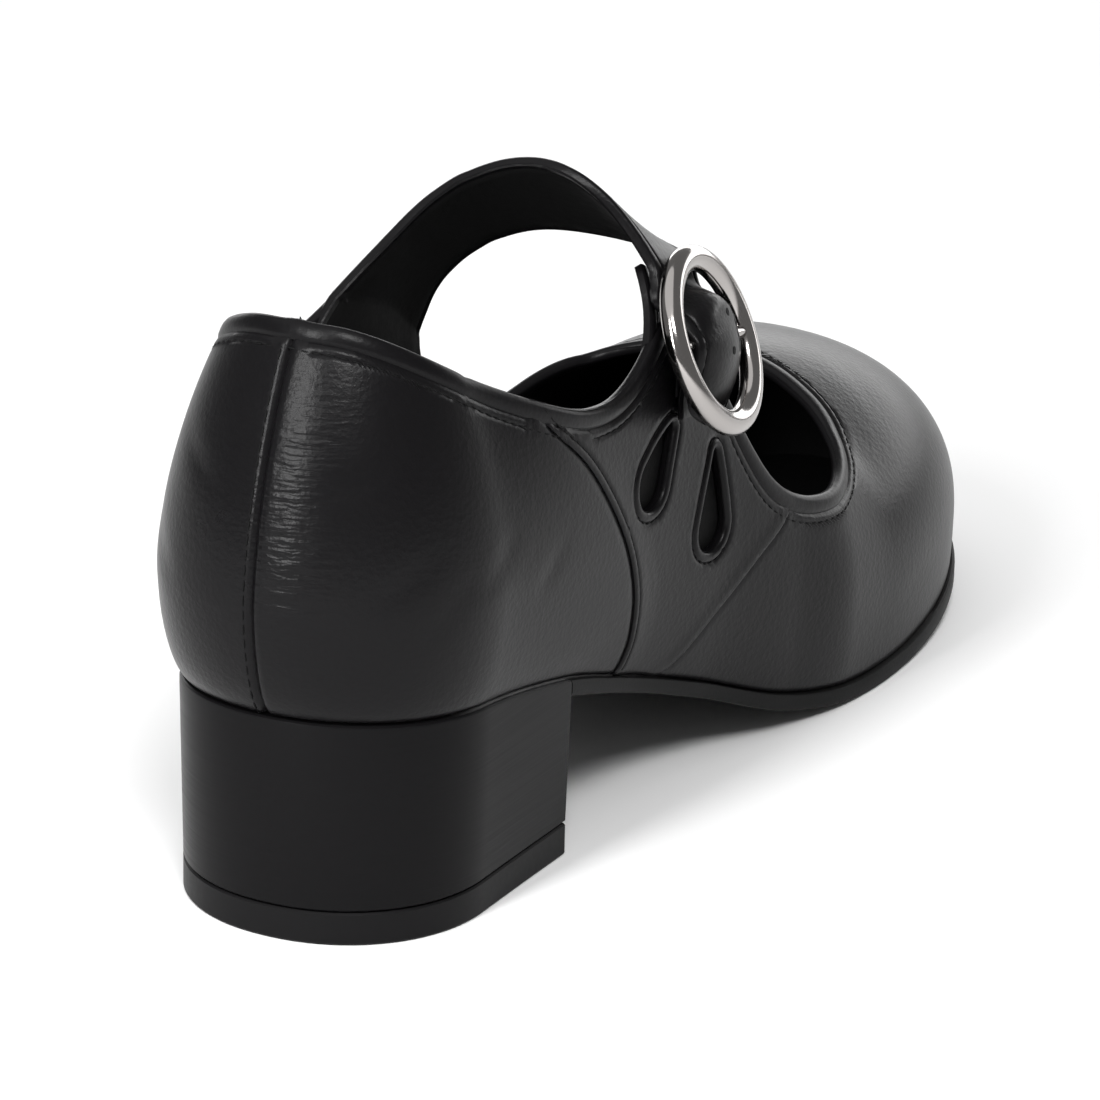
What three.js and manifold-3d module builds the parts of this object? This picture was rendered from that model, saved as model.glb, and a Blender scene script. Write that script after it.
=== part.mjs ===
import * as THREE from 'three';
import { mergeVertices } from 'three/addons/utils/BufferGeometryUtils.js';
import Module from 'manifold-3d';

const wasm = await Module();
wasm.setup();

// Mary jane pump, right foot, in millimetres: +Y towards the toe, +X to the outer (lateral) side,
// +Z up. It is drawn with z = 0 at the floor and y = 0 at the back edge of the heel block.

// Driving dimensions
const TIP_Y = 243.3;
const TIP_X = -4;
const BACK_Y = -6;
const BACK_FEATHER_Y = 0.3;
const TIP_FEATHER_Y = 242.6;
const HEEL_PIVOT_Y = 28;
const TOE_PIVOT_Y = 168;
const BREAST_Y = 58.2;
const UPPER_WALL = 2.2;
const STRAP_THICKNESS = 2;
const STRAP_WIDTH = 19;
const INSOLE_THICKNESS = 2.2;
const TOP_PIECE_THICKNESS = 6;
const SOLE_MARGIN = 1.2;
const PIECE_GAP = 0.3;
const LAT = 1;
const MED = -1;

// One row per cross-section of the last. Feather: the edge where upper meets sole. Wide: the fullest
// point of each side. Ridge: the top line. Round: the power of the arc from wide up to the ridge.
const SECTIONS = [
  { y: 20, featherLat: 27.2, featherMed: -27.4, wideLat: 31, wideMed: -32, wideZ: 60,
    ridgeX: 0, ridgeZ: 126, roundLat: 1.6, roundMed: 1.6 },
  { y: 28, featherLat: 27.2, featherMed: -27.4, wideLat: 31, wideMed: -32, wideZ: 60,
    ridgeX: 0, ridgeZ: 126, roundLat: 1.6, roundMed: 1.6 },
  { y: 57, featherLat: 27.6, featherMed: -26, wideLat: 32, wideMed: -31, wideZ: 59,
    ridgeX: 1, ridgeZ: 132, roundLat: 2.1, roundMed: 1.9 },
  { y: 80, featherLat: 28, featherMed: -22, wideLat: 32.5, wideMed: -28.5, wideZ: 56,
    ridgeX: 3, ridgeZ: 124, roundLat: 2.3, roundMed: 1.9 },
  { y: 105, featherLat: 31, featherMed: -21.5, wideLat: 34.5, wideMed: -29, wideZ: 45,
    ridgeX: 3, ridgeZ: 99.5, roundLat: 2.5, roundMed: 1.9 },
  { y: 130, featherLat: 36.8, featherMed: -27, wideLat: 39, wideMed: -33, wideZ: 31,
    ridgeX: -2, ridgeZ: 79, roundLat: 2.4, roundMed: 2 },
  { y: 150, featherLat: 40.8, featherMed: -34, wideLat: 42.8, wideMed: -38.5, wideZ: 22,
    ridgeX: -6, ridgeZ: 66, roundLat: 2.2, roundMed: 2.1 },
  { y: 168, featherLat: 42, featherMed: -38.5, wideLat: 42.8, wideMed: -41.5, wideZ: 18,
    ridgeX: -8, ridgeZ: 58.2, roundLat: 2.15, roundMed: 2.15 },
  { y: 176, featherLat: 42, featherMed: -38.5, wideLat: 42.8, wideMed: -41.5, wideZ: 18,
    ridgeX: -8, ridgeZ: 54.8, roundLat: 2.15, roundMed: 2.15 },
];
const TOE_ROUND = 2.25;
const TOE_DIP = 1.7;
const TOE_DIP_LENGTH = 4;
const BACK_WIDE_Z = 62;
const TIP_WIDE_Z = 19;
const HEEL_OUTLINE_POWER = 2.1;
const TOE_OUTLINE_POWER = 2.25;
const TOE_FEATHER_POWER = 2.3;
const TUCK_POWER = 1.7;

// Side profile of the feather edge, over heel seat, waist, ball and toe spring
const FEATHER_LINE = [
  { y: -6, z: 41.7 }, { y: 28, z: 39 }, { y: 57, z: 34 }, { y: 80, z: 27 }, { y: 105, z: 18.2 },
  { y: 130, z: 8.5 }, { y: 142, z: 5.6 }, { y: 153, z: 4.1 }, { y: 160, z: 3.8 }, { y: 170, z: 3.8 },
  { y: 190, z: 5.1 },
  { y: 210, z: 7.4 }, { y: 230, z: 10.6 }, { y: 247, z: 14.2 },
];
// Side profile of the sole's underside; it lies flat on the floor under the ball
const TREAD_LINE = [
  { y: 57, z: 30.6 }, { y: 80, z: 23.6 }, { y: 105, z: 14.7 }, { y: 130, z: 4.8 }, { y: 142, z: 1.9 },
  { y: 153, z: 0.35 }, { y: 160, z: 0 }, { y: 170, z: 0 }, { y: 190, z: 1.1 }, { y: 210, z: 3.4 }, { y: 230, z: 6.6 }, { y: 247, z: 10.2 },
];

// Value of a named column between the rows of a table, smooth and without overshoot
function between(rows, column, y) {
  const end = rows.length - 1;
  const at = THREE.MathUtils.clamp(y, rows[0].y, rows[end].y);
  const slope = (k) => (rows[k + 1][column] - rows[k][column]) / (rows[k + 1].y - rows[k].y);
  const tangent = (k) => {
    if (k === 0) return slope(0);
    if (k === end) return slope(end - 1);
    const product = slope(k - 1) * slope(k);
    return product <= 0 ? 0 : (2 * product) / (slope(k - 1) + slope(k));
  };
  let i = 0;
  while (i < end - 1 && at > rows[i + 1].y) i += 1;
  const span = rows[i + 1].y - rows[i].y;
  const t = (at - rows[i].y) / span;
  const blend = t * t * (3 - 2 * t);
  const bend = span * t * (1 - t) * ((1 - t) * tangent(i) - t * tangent(i + 1));
  return rows[i][column] * (1 - blend) + rows[i + 1][column] * blend + bend;
}

const section = (column, y) => between(SECTIONS, column, y);
const featherZ = (y) => between(FEATHER_LINE, 'z', y);
const treadZ = (y) => between(TREAD_LINE, 'z', y);
const lerp = THREE.MathUtils.lerp;
const placeAt = (y) => 1 + (y - HEEL_PIVOT_Y) / (TOE_PIVOT_Y - HEEL_PIVOT_Y);

// A half-section of the last. Place 0 to 1 fans round the back of the heel, 1 to 2 runs along the
// side and 2 to 3 fans round the toe. Gives the feather and wide points and the top they rise to.
function halfSection(place, side) {
  const feather = side === LAT ? 'featherLat' : 'featherMed';
  const wide = side === LAT ? 'wideLat' : 'wideMed';
  const round = side === LAT ? 'roundLat' : 'roundMed';
  const y = lerp(HEEL_PIVOT_Y, TOE_PIVOT_Y, THREE.MathUtils.clamp(place - 1, 0, 1));
  const half = {
    feather: new THREE.Vector2(section(feather, y), y),
    wide: new THREE.Vector2(section(wide, y), y),
    top: new THREE.Vector2(section('ridgeX', y), y),
    wideZ: section('wideZ', y),
    topZ: section('ridgeZ', y),
    round: section(round, y),
  };
  const fan = (point, centreX, endY, share, power) => {
    const along = Math.sin((share * Math.PI) / 2) ** (2 / power);
    const across = Math.cos((share * Math.PI) / 2) ** (2 / power);
    point.set(lerp(centreX, point.x, across), lerp(y, endY, along));
  };
  if (place < 1) {
    fan(half.feather, half.top.x, BACK_FEATHER_Y, 1 - place, HEEL_OUTLINE_POWER);
    fan(half.wide, half.top.x, BACK_Y, 1 - place, HEEL_OUTLINE_POWER);
    half.wideZ = lerp(BACK_WIDE_Z, half.wideZ, place);
  } else if (place > 2) {
    fan(half.feather, TIP_X, TIP_FEATHER_Y, place - 2, TOE_FEATHER_POWER);
    fan(half.wide, TIP_X, TIP_Y, place - 2, TOE_OUTLINE_POWER);
    half.wideZ = lerp(half.wideZ, TIP_WIDE_Z, place - 2);
    half.round = lerp(half.round, TOE_ROUND, place - 2);
  }
  return half;
}

// Point on the last at a height share: 0 is the feather, WIDE_SHARE the fullest point and 1 the top.
// The inset moves it inwards, to make the inside of a wall.
const WIDE_SHARE = 0.3;
function lastPoint(place, share, side, inset = 0) {
  const half = halfSection(place, side);
  const pullIn = (point) => {
    const arm = point.clone().sub(half.top);
    return half.top.clone().addScaledVector(arm, 1 - inset / arm.length());
  };
  const feather = pullIn(half.feather);
  const wide = pullIn(half.wide);
  const footZ = featherZ(half.feather.y);
  if (share < WIDE_SHARE) {
    const angle = ((1 - share / WIDE_SHARE) * Math.PI) / 2;
    const plan = feather.lerp(wide, Math.cos(angle) ** (2 / TUCK_POWER));
    const drop = Math.sin(angle) ** (2 / TUCK_POWER);
    return new THREE.Vector3(plan.x, plan.y, lerp(half.wideZ, footZ, drop));
  }
  const angle = (((share - WIDE_SHARE) / (1 - WIDE_SHARE)) * Math.PI) / 2;
  const plan = half.top.clone().lerp(wide, Math.cos(angle) ** (2 / half.round));
  const rise = Math.sin(angle) ** (2 / half.round);
  const beyond = Math.max(0, plan.y - TOE_PIVOT_Y);
  const topZ = half.topZ - TOE_DIP * (1 - Math.exp(-beyond / TOE_DIP_LENGTH)) - inset;
  return new THREE.Vector3(plan.x, plan.y, lerp(half.wideZ, topZ, rise));
}

// Places from the back seam to the toe tip, closer together where the outline turns
const HEEL_STEPS = 7;
const SIDE_STEPS = 17;
const TOE_STEPS = 9;
function placesAlong() {
  const places = [];
  for (let i = 0; i < HEEL_STEPS; i += 1) places.push(i / HEEL_STEPS);
  for (let i = 0; i < SIDE_STEPS; i += 1) places.push(1 + i / SIDE_STEPS);
  for (let i = 0; i <= TOE_STEPS; i += 1) places.push(2 + i / TOE_STEPS);
  return places;
}

// A ring of points, along the lateral side to the front and back by the medial side
function ringFrom(places, pointAt) {
  const lateral = places.map((place) => pointAt(place, LAT));
  const medial = places.map((place) => pointAt(place, MED)).reverse();
  return lateral.concat(medial);
}

// Closed body through a stack of rings; strips between the two sides of a ring cap the ends
function loft(rings) {
  const count = rings[0].length;
  const positions = rings.flat().flatMap((point) => point.toArray());
  const faces = [];
  const quad = (a, b, c, d) => faces.push(a, b, c, a, c, d);
  for (let row = 0; row < rings.length - 1; row += 1) {
    for (let i = 0; i < count; i += 1) {
      const next = (i + 1) % count;
      quad(row * count + i, row * count + next, (row + 1) * count + next, (row + 1) * count + i);
    }
  }
  const top = (rings.length - 1) * count;
  for (let i = 0; i < count / 2 - 1; i += 1) {
    const across = count - 1 - i;
    quad(across, across - 1, i + 1, i);
    quad(top + i, top + i + 1, top + across - 1, top + across);
  }
  return closedGeometry(positions, faces);
}

// Geometry with its shared vertices merged and its collapsed triangles dropped
const MERGE_DISTANCE = 1e-3;
function closedGeometry(positions, faces) {
  const loose = new THREE.BufferGeometry();
  loose.setAttribute('position', new THREE.Float32BufferAttribute(positions, 3));
  loose.setIndex(Array.from(faces));
  const merged = mergeVertices(loose, MERGE_DISTANCE);
  const index = merged.index.array;
  const kept = [];
  for (let i = 0; i < index.length; i += 3) {
    const [a, b, c] = index.slice(i, i + 3);
    if (a !== b && b !== c && c !== a) kept.push(a, b, c);
  }
  merged.setIndex(kept);
  return merged;
}

function toSolid(geometry) {
  const positions = geometry.attributes.position;
  const faces = geometry.index ? geometry.index.array : [...Array(positions.count).keys()];
  const closed = closedGeometry(positions.array, faces);
  const triVerts = new Uint32Array(closed.index.array);
  const vertProperties = new Float32Array(closed.attributes.position.array);
  return new wasm.Manifold(new wasm.Mesh({ numProp: 3, vertProperties, triVerts }));
}

function fromSolid(solid) {
  const mesh = solid.getMesh();
  const geometry = new THREE.BufferGeometry();
  geometry.setAttribute('position', new THREE.Float32BufferAttribute(mesh.vertProperties, 3));
  geometry.setIndex(Array.from(mesh.triVerts));
  return geometry;
}

// Prism with its outline in the side view (y, z), between two x positions
function sidePrism(outline, fromX, toX) {
  const shape = new THREE.Shape(outline);
  const prism = new THREE.ExtrudeGeometry(shape, { depth: toX - fromX, bevelEnabled: false });
  const toSide = new THREE.Matrix4().makeBasis(
    new THREE.Vector3(0, 1, 0), new THREE.Vector3(0, 0, 1), new THREE.Vector3(1, 0, 0));
  prism.applyMatrix4(toSide);
  prism.translate(fromX, 0, 0);
  return toSolid(prism);
}

const SPLINE_STEP = 4;
function sideCurve(rows) {
  const curve = new THREE.SplineCurve(rows.map((row) => new THREE.Vector2(row.y, row.z)));
  return curve.getSpacedPoints(Math.round(curve.getLength() / SPLINE_STEP));
}

// ---- Upper: one hollow shell over the last, with the strap grown on at the medial side ----

// Top edge on each side, from the back seam to the front of the throat. The lateral one rises round
// the tab that backs the buckle, the medial one to the root of the strap.
const LATERAL_COLLAR = [
  { y: -14, z: 111 }, { y: 2, z: 111 }, { y: 12, z: 108 }, { y: 23, z: 100.7 }, { y: 35, z: 93.8 },
  { y: 48, z: 87.6 }, { y: 58, z: 84 }, { y: 67, z: 82.8 }, { y: 75.5, z: 84 }, { y: 82.5, z: 87.6 },
  { y: 87.5, z: 92.5 }, { y: 90.5, z: 97 },
];
const LATERAL_THROAT = [
  { y: 111, z: 84 }, { y: 113, z: 73 }, { y: 118, z: 61.5 }, { y: 125, z: 52 }, { y: 134, z: 46.5 },
  { y: 144, z: 44.3 }, { y: 154, z: 44.2 }, { y: 163, z: 46.2 }, { y: 171, z: 50 }, { y: 177, z: 54 },
  { y: 180, z: 60 },
];
const MEDIAL_COLLAR = [
  { y: -14, z: 111 }, { y: 2, z: 111 }, { y: 12, z: 108 }, { y: 23, z: 101 }, { y: 33, z: 94.8 },
  { y: 42, z: 90.5 }, { y: 50, z: 88.5 }, { y: 57, z: 89.4 }, { y: 64, z: 92.6 }, { y: 70, z: 97 },
];
const MEDIAL_THROAT = [
  { y: 96.5, z: 83 }, { y: 98, z: 76 }, { y: 104, z: 66.5 }, { y: 113, z: 58.5 }, { y: 124, z: 53 },
  { y: 136, z: 50.3 }, { y: 148, z: 50.4 }, { y: 159, z: 52.6 }, { y: 169, z: 55 }, { y: 177, z: 57 },
  { y: 180, z: 62 },
];
const TAB_TOP = [
  { y: 93, z: 99.2 }, { y: 95, z: 99.4 }, { y: 99, z: 97.6 }, { y: 106, z: 93 }, { y: 109.5, z: 90 },
];
const ROOT_TOP = [{ y: 79, z: 101 }, { y: 94, z: 90 }];
const CUT_TOP_Z = 150;
const CUT_FRONT_Y = 184;
const CUT_SIDE_X = 90;

const CUT_OVERLAP_X = 0.5;
function openingPrism(collar, bridge, throat, side) {
  const outline = [
    ...sideCurve(collar),
    ...bridge.map((row) => new THREE.Vector2(row.y, row.z)),
    ...sideCurve(throat),
    new THREE.Vector2(CUT_FRONT_Y, throat[throat.length - 1].z),
    new THREE.Vector2(CUT_FRONT_Y, CUT_TOP_Z),
    new THREE.Vector2(collar[0].y, CUT_TOP_Z),
  ];
  return side === LAT ? sidePrism(outline, -CUT_OVERLAP_X, CUT_SIDE_X)
    : sidePrism(outline, -CUT_SIDE_X, CUT_OVERLAP_X);
}

// Teardrop cut-outs: a round end and a point, one row each
const TEARDROPS = [
  { y: 81.5, z: 63.5, radius: 5, tipY: 90, tipZ: 72.5 },
  { y: 103.2, z: 49, radius: 4.7, tipY: 105, tipZ: 63.5 },
];
const TEARDROP_STEPS = 14;
function teardropPrism(drop) {
  const toTip = new THREE.Vector2(drop.tipY - drop.y, drop.tipZ - drop.z);
  const halfOpen = Math.acos(drop.radius / toTip.length());
  const outline = [new THREE.Vector2(drop.tipY, drop.tipZ)];
  for (let i = 0; i <= TEARDROP_STEPS; i += 1) {
    const angle = toTip.angle() + lerp(halfOpen, 2 * Math.PI - halfOpen, i / TEARDROP_STEPS);
    outline.push(new THREE.Vector2(
      drop.y + drop.radius * Math.cos(angle), drop.z + drop.radius * Math.sin(angle)));
  }
  return sidePrism(outline, -CUT_SIDE_X, CUT_SIDE_X);
}

const HEIGHT_STEPS = 12;
const INSIDE_DROP = 8;
function lastSolid(inset) {
  const places = placesAlong();
  const rings = [];
  for (let row = 0; row <= HEIGHT_STEPS; row += 1) {
    rings.push(ringFrom(places, (place, side) => lastPoint(place, row / HEIGHT_STEPS, side, inset)));
  }
  if (inset > 0) rings.unshift(rings[0].map((point) => point.clone().setZ(point.z - INSIDE_DROP)));
  return toSolid(loft(rings));
}

// ---- Buckle: a round ring with a centre bar, lying against the lateral side ----
const RING_CENTRE = new THREE.Vector3(35.3, 98, 86.2);
const RING_RADIUS = 15.2;
const RING_HALF_WIDTH = 2.4;
const RING_HALF_DEPTH = 2;
const BAR_RADIUS = 1.4;
const RING_LEAN = THREE.MathUtils.degToRad(22.6);
const RING_TURN = THREE.MathUtils.degToRad(6.7);
const RING_SLANT = THREE.MathUtils.degToRad(10.6);

// Axes of the buckle: out of the ring, down the strap, and along the bar
const turned = (x, z) => new THREE.Vector3(x * Math.cos(RING_TURN), x * Math.sin(RING_TURN), z);
const ringOut = turned(Math.cos(RING_LEAN), Math.sin(RING_LEAN));
const steepest = turned(Math.sin(RING_LEAN), -Math.cos(RING_LEAN));
const ringDown = steepest.clone().applyAxisAngle(ringOut, -RING_SLANT);
const ringAlong = new THREE.Vector3().crossVectors(ringOut, ringDown);
const atRing = (down, out, along) => RING_CENTRE.clone()
  .addScaledVector(ringDown, down).addScaledVector(ringOut, out).addScaledVector(ringAlong, along);
const ringFrame = new THREE.Matrix4().makeBasis(ringAlong, ringOut, ringDown)
  .setPosition(RING_CENTRE);

const RING_STEPS = 36;
const RING_SECTION_STEPS = 10;
function buckleRing() {
  const profile = [];
  for (let i = 0; i <= RING_SECTION_STEPS; i += 1) {
    const angle = (2 * Math.PI * i) / RING_SECTION_STEPS;
    profile.push(new THREE.Vector2(
      RING_RADIUS + RING_HALF_WIDTH * Math.cos(angle), RING_HALF_DEPTH * Math.sin(angle)));
  }
  const ring = new THREE.LatheGeometry(profile, RING_STEPS);
  ring.applyMatrix4(ringFrame);
  const bar = new THREE.CylinderGeometry(BAR_RADIUS, BAR_RADIUS, 2 * RING_RADIUS, RING_SECTION_STEPS);
  bar.rotateZ(Math.PI / 2);
  bar.applyMatrix4(ringFrame);
  return fromSolid(toSolid(ring).add(toSolid(bar)));
}

// ---- Strap: cut in one with the medial side, over the instep and through the ring ----

// Rows over the instep: turn goes round the section from the medial side, over the ridge at 90, to
// the lateral side; rear and front are the strap's edges; lift is its height above the last
const STRAP_ROWS = [
  { turn: 31, rearY: 66.5, frontY: 96, lift: 0 },
  { turn: 40, rearY: 74.5, frontY: 96, lift: 0 },
  { turn: 50, rearY: 80.5, frontY: 97.5, lift: 0 },
  { turn: 62, rearY: 84.8, frontY: 99.8, lift: 0 },
  { turn: 75, rearY: 87, frontY: 101.4, lift: 0 },
  { turn: 90, rearY: 87.8, frontY: 102.8, lift: 0.8 },
  { turn: 102, rearY: 88, frontY: 104, lift: 2.6 },
];
// Rows that bring the strap square to the ring, in the ring's axes (down the strap, out, along the bar)
const STRAP_TURN_IN = [
  { rearAlong: -12, rearDown: -30, rearOut: -4.2, frontAlong: 7.6, frontDown: -20, frontOut: -6.6 },
  { rearAlong: -10.2, rearDown: -23, rearOut: -2.6, frontAlong: 9, frontDown: -18, frontOut: -3.4 },
];
const STRAP_ACROSS = 5;
const NORMAL_STEP = 1e-3;
function onInstep(turn, y, lift) {
  const side = turn > 90 ? LAT : MED;
  const place = placeAt(y);
  const share = lerp(WIDE_SHARE, 1, (turn > 90 ? 180 - turn : turn) / 90);
  const inner = Math.min(share, 1 - NORMAL_STEP);
  const point = lastPoint(place, share, side);
  const alongShoe = lastPoint(place + NORMAL_STEP, inner, side).sub(lastPoint(place, inner, side));
  const upwards = lastPoint(place, inner, side).sub(lastPoint(place, inner - NORMAL_STEP, side));
  const normal = alongShoe.cross(upwards).multiplyScalar(side).normalize();
  return point.addScaledVector(normal, lift);
}

// Rows through the buckle, measured down the strap from the bar: under the ring, over the bar and
// its leather loop, and under the ring again to a rounded tail
const STRAP_FROM = -15.5;
const STRAP_TAIL = 15.5;
const TAIL_ROUND_FROM = 6.5;
const TAIL_TIP = 0.3;
const UNDER_RING = -RING_HALF_DEPTH - PIECE_GAP;
const LOOP_THICKNESS = 1.2;
const OVER_BAR = BAR_RADIUS + LOOP_THICKNESS + 2 * PIECE_GAP + STRAP_THICKNESS;
const ARCH_POWER = 1.3;
const BUCKLE_STEPS = 18;
function throughBuckle(down, share, depth) {
  const tail = Math.max(0, (down - TAIL_ROUND_FROM) / (STRAP_TAIL + TAIL_TIP - TAIL_ROUND_FROM));
  const halfWidth = (STRAP_WIDTH / 2) * Math.sqrt(1 - tail * tail);
  const along = lerp(-halfWidth, halfWidth, share);
  const reach = Math.sqrt((RING_RADIUS - RING_HALF_WIDTH - PIECE_GAP) ** 2 - along ** 2);
  const arch = Math.max(0, 1 - (down / reach) ** 2) ** ARCH_POWER;
  return atRing(down, lerp(UNDER_RING, OVER_BAR, arch) - depth, along);
}

function strapSolid() {
  const rings = [];
  const addRow = (pointAt) => {
    const inner = [];
    const outer = [];
    for (let i = 0; i < STRAP_ACROSS; i += 1) {
      inner.push(pointAt(i / (STRAP_ACROSS - 1), STRAP_THICKNESS));
      outer.unshift(pointAt(i / (STRAP_ACROSS - 1), 0));
    }
    rings.push(inner.concat(outer));
  };
  STRAP_ROWS.forEach((row) => addRow((share, depth) => (
    onInstep(row.turn, lerp(row.rearY, row.frontY, share), row.lift - depth))));
  STRAP_TURN_IN.forEach((row) => addRow((share, depth) => atRing(
    lerp(row.rearDown, row.frontDown, share),
    lerp(row.rearOut, row.frontOut, share) - depth,
    lerp(row.rearAlong, row.frontAlong, share))));
  for (let i = 0; i <= BUCKLE_STEPS; i += 1) {
    const down = lerp(STRAP_FROM, STRAP_TAIL, i / BUCKLE_STEPS);
    addRow((share, depth) => throughBuckle(down, share, depth));
  }
  return toSolid(loft(rings));
}

function upper() {
  const shell = lastSolid(0).subtract(lastSolid(UPPER_WALL))
    .subtract(openingPrism(LATERAL_COLLAR, TAB_TOP, LATERAL_THROAT, LAT))
    .subtract(openingPrism(MEDIAL_COLLAR, ROOT_TOP, MEDIAL_THROAT, MED));
  const pierced = TEARDROPS.reduce((solid, drop) => solid.subtract(teardropPrism(drop)), shell);
  return fromSolid(pierced.add(strapSolid()));
}

// Leather loop, folded round the bar and stitched down to the lateral side under the strap's tail.
// Its side view is drawn down the strap and out of the ring: a round fold and a straight leaf.
const LOOP_WIDTH = 12;
const LOOP_SEGMENTS = 9;
const LEAF_END = { down: 12, top: -6.4, foot: -7.6 };
const LEAF_TURN = THREE.MathUtils.degToRad(-28);
function buckleLoop() {
  const boreRadius = BAR_RADIUS + PIECE_GAP;
  const outline = new THREE.Shape();
  outline.absarc(0, 0, boreRadius + LOOP_THICKNESS, -Math.PI / 2, LEAF_TURN, true);
  outline.lineTo(LEAF_END.down, LEAF_END.top);
  outline.lineTo(LEAF_END.down, LEAF_END.foot);
  outline.closePath();
  outline.holes.push(new THREE.Path().absarc(0, 0, boreRadius, 0, 2 * Math.PI));
  const settings = { depth: LOOP_WIDTH, bevelEnabled: false, curveSegments: LOOP_SEGMENTS };
  const strip = new THREE.ExtrudeGeometry(outline, settings);
  const axes = new THREE.Matrix4().makeBasis(ringDown, ringOut, ringAlong.clone().negate());
  strip.applyMatrix4(axes.setPosition(atRing(0, 0, LOOP_WIDTH / 2)));
  return fromSolid(toSolid(strip));
}

// ---- Bottom: outsole, heel block with its top piece, and the insole ----

// Outline of the bottom in plan, moved out from the feather by a margin
function bottomPoint(place, side, margin, zAt) {
  const half = halfSection(place, side);
  const arm = half.feather.clone().sub(half.top);
  const plan = half.top.clone().addScaledVector(arm, 1 + margin / arm.length());
  return new THREE.Vector3(plan.x, plan.y, zAt(half.feather.y));
}

const BREAST_PLACE = placeAt(BREAST_Y);
const CLOSEST_PLACE = 0.02;
const heelPlaces = [...placesAlong().filter((place) => place < BREAST_PLACE - CLOSEST_PLACE), BREAST_PLACE];
const solePlaces = [
  placeAt(BREAST_Y + PIECE_GAP), ...placesAlong().filter((place) => place > BREAST_PLACE + CLOSEST_PLACE)];

const SOLE_EDGE_ROUND = 0.6;
function outsole() {
  const topZ = (y) => featherZ(y) - PIECE_GAP;
  const rows = [
    { margin: SOLE_MARGIN - SOLE_EDGE_ROUND, zAt: treadZ },
    { margin: SOLE_MARGIN, zAt: (y) => treadZ(y) + SOLE_EDGE_ROUND },
    { margin: SOLE_MARGIN, zAt: (y) => topZ(y) - SOLE_EDGE_ROUND },
    { margin: SOLE_MARGIN - SOLE_EDGE_ROUND, zAt: topZ },
  ];
  return loft(rows.map((row) => (
    ringFrom(solePlaces, (place, side) => bottomPoint(place, side, row.margin, row.zAt)))));
}

const HEEL_TOP_MARGIN = 1.2;
const HEEL_FOOT_MARGIN = 0.5;
function heelBlock() {
  const footZ = TOP_PIECE_THICKNESS + PIECE_GAP;
  const seatZ = (y) => featherZ(y) - PIECE_GAP;
  return loft([
    ringFrom(heelPlaces, (place, side) => bottomPoint(place, side, HEEL_FOOT_MARGIN, () => footZ)),
    ringFrom(heelPlaces, (place, side) => bottomPoint(place, side, HEEL_TOP_MARGIN, seatZ)),
  ]);
}

function topPiece() {
  const ringAt = (z) => ringFrom(heelPlaces, (place, side) => (
    bottomPoint(place, side, HEEL_FOOT_MARGIN, () => z)));
  return loft([ringAt(0), ringAt(TOP_PIECE_THICKNESS)]);
}

function insole() {
  const margin = -UPPER_WALL - PIECE_GAP;
  const ringAt = (height) => ringFrom(placesAlong(), (place, side) => (
    bottomPoint(place, side, margin, (y) => featherZ(y) + height)));
  return loft([ringAt(0), ringAt(INSOLE_THICKNESS)]);
}

// ---- Assembly ----
const blackLeather = { color: '#17171a', roughness: 0.42, metalness: 0 };
const PIECES = [
  { name: 'upper', make: upper, finish: blackLeather },
  { name: 'outsole', make: outsole, finish: { color: '#1b1b1d', roughness: 0.6, metalness: 0 } },
  { name: 'insole', make: insole, finish: { color: '#121214', roughness: 0.75, metalness: 0 } },
  { name: 'heel_block', make: heelBlock, finish: { color: '#1a1a1d', roughness: 0.38, metalness: 0 } },
  { name: 'top_piece', make: topPiece, finish: { color: '#161618', roughness: 0.7, metalness: 0 } },
  { name: 'buckle_ring', make: buckleRing, finish: { color: '#cfccc8', roughness: 0.12, metalness: 1 } },
  { name: 'buckle_loop', make: buckleLoop, finish: blackLeather },
];

const shoe = new THREE.Group();
PIECES.forEach((piece) => {
  const mesh = new THREE.Mesh(piece.make(), new THREE.MeshStandardMaterial(piece.finish));
  mesh.name = piece.name;
  shoe.add(mesh);
});

// The finished part stands with the middle of its bounding box over the origin
const middle = new THREE.Box3().setFromObject(shoe).getCenter(new THREE.Vector3());
shoe.position.set(-middle.x, -middle.y, 0);

export default shoe;
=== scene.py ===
import math

import bpy
import numpy as np
from mathutils import Matrix, Vector
from mathutils.geometry import delaunay_2d_cdt


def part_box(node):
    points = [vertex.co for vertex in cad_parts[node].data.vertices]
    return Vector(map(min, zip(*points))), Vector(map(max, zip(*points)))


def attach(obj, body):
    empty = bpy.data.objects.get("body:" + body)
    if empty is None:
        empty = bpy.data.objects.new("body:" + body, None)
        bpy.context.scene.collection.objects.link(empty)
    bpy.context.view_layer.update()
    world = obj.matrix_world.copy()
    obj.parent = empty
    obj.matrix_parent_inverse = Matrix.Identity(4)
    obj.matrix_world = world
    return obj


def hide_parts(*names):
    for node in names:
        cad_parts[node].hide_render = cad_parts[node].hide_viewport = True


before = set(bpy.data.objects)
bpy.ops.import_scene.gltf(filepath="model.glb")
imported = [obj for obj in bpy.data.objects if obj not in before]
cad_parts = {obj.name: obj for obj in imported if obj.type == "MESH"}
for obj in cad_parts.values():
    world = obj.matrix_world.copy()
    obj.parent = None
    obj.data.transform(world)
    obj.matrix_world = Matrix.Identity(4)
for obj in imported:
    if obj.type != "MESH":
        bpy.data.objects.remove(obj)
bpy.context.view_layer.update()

# ----------------------------------------
# The last: the form that the upper is pulled over. Everything of leather is laid out on it.
# Sizes are in millimetres: +y to the toe, +x to the outer side, z = 0 on the floor, and y = 0
# at the back of the heel block. A piece becomes a mesh in metres only at the end.
# ----------------------------------------
RING_CENTRE = np.array([35.3, 98.0, 86.2])
ring_low, ring_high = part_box("buckle_ring")
SHIFT = RING_CENTRE - 500.0 * np.array(ring_low + ring_high)

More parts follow.
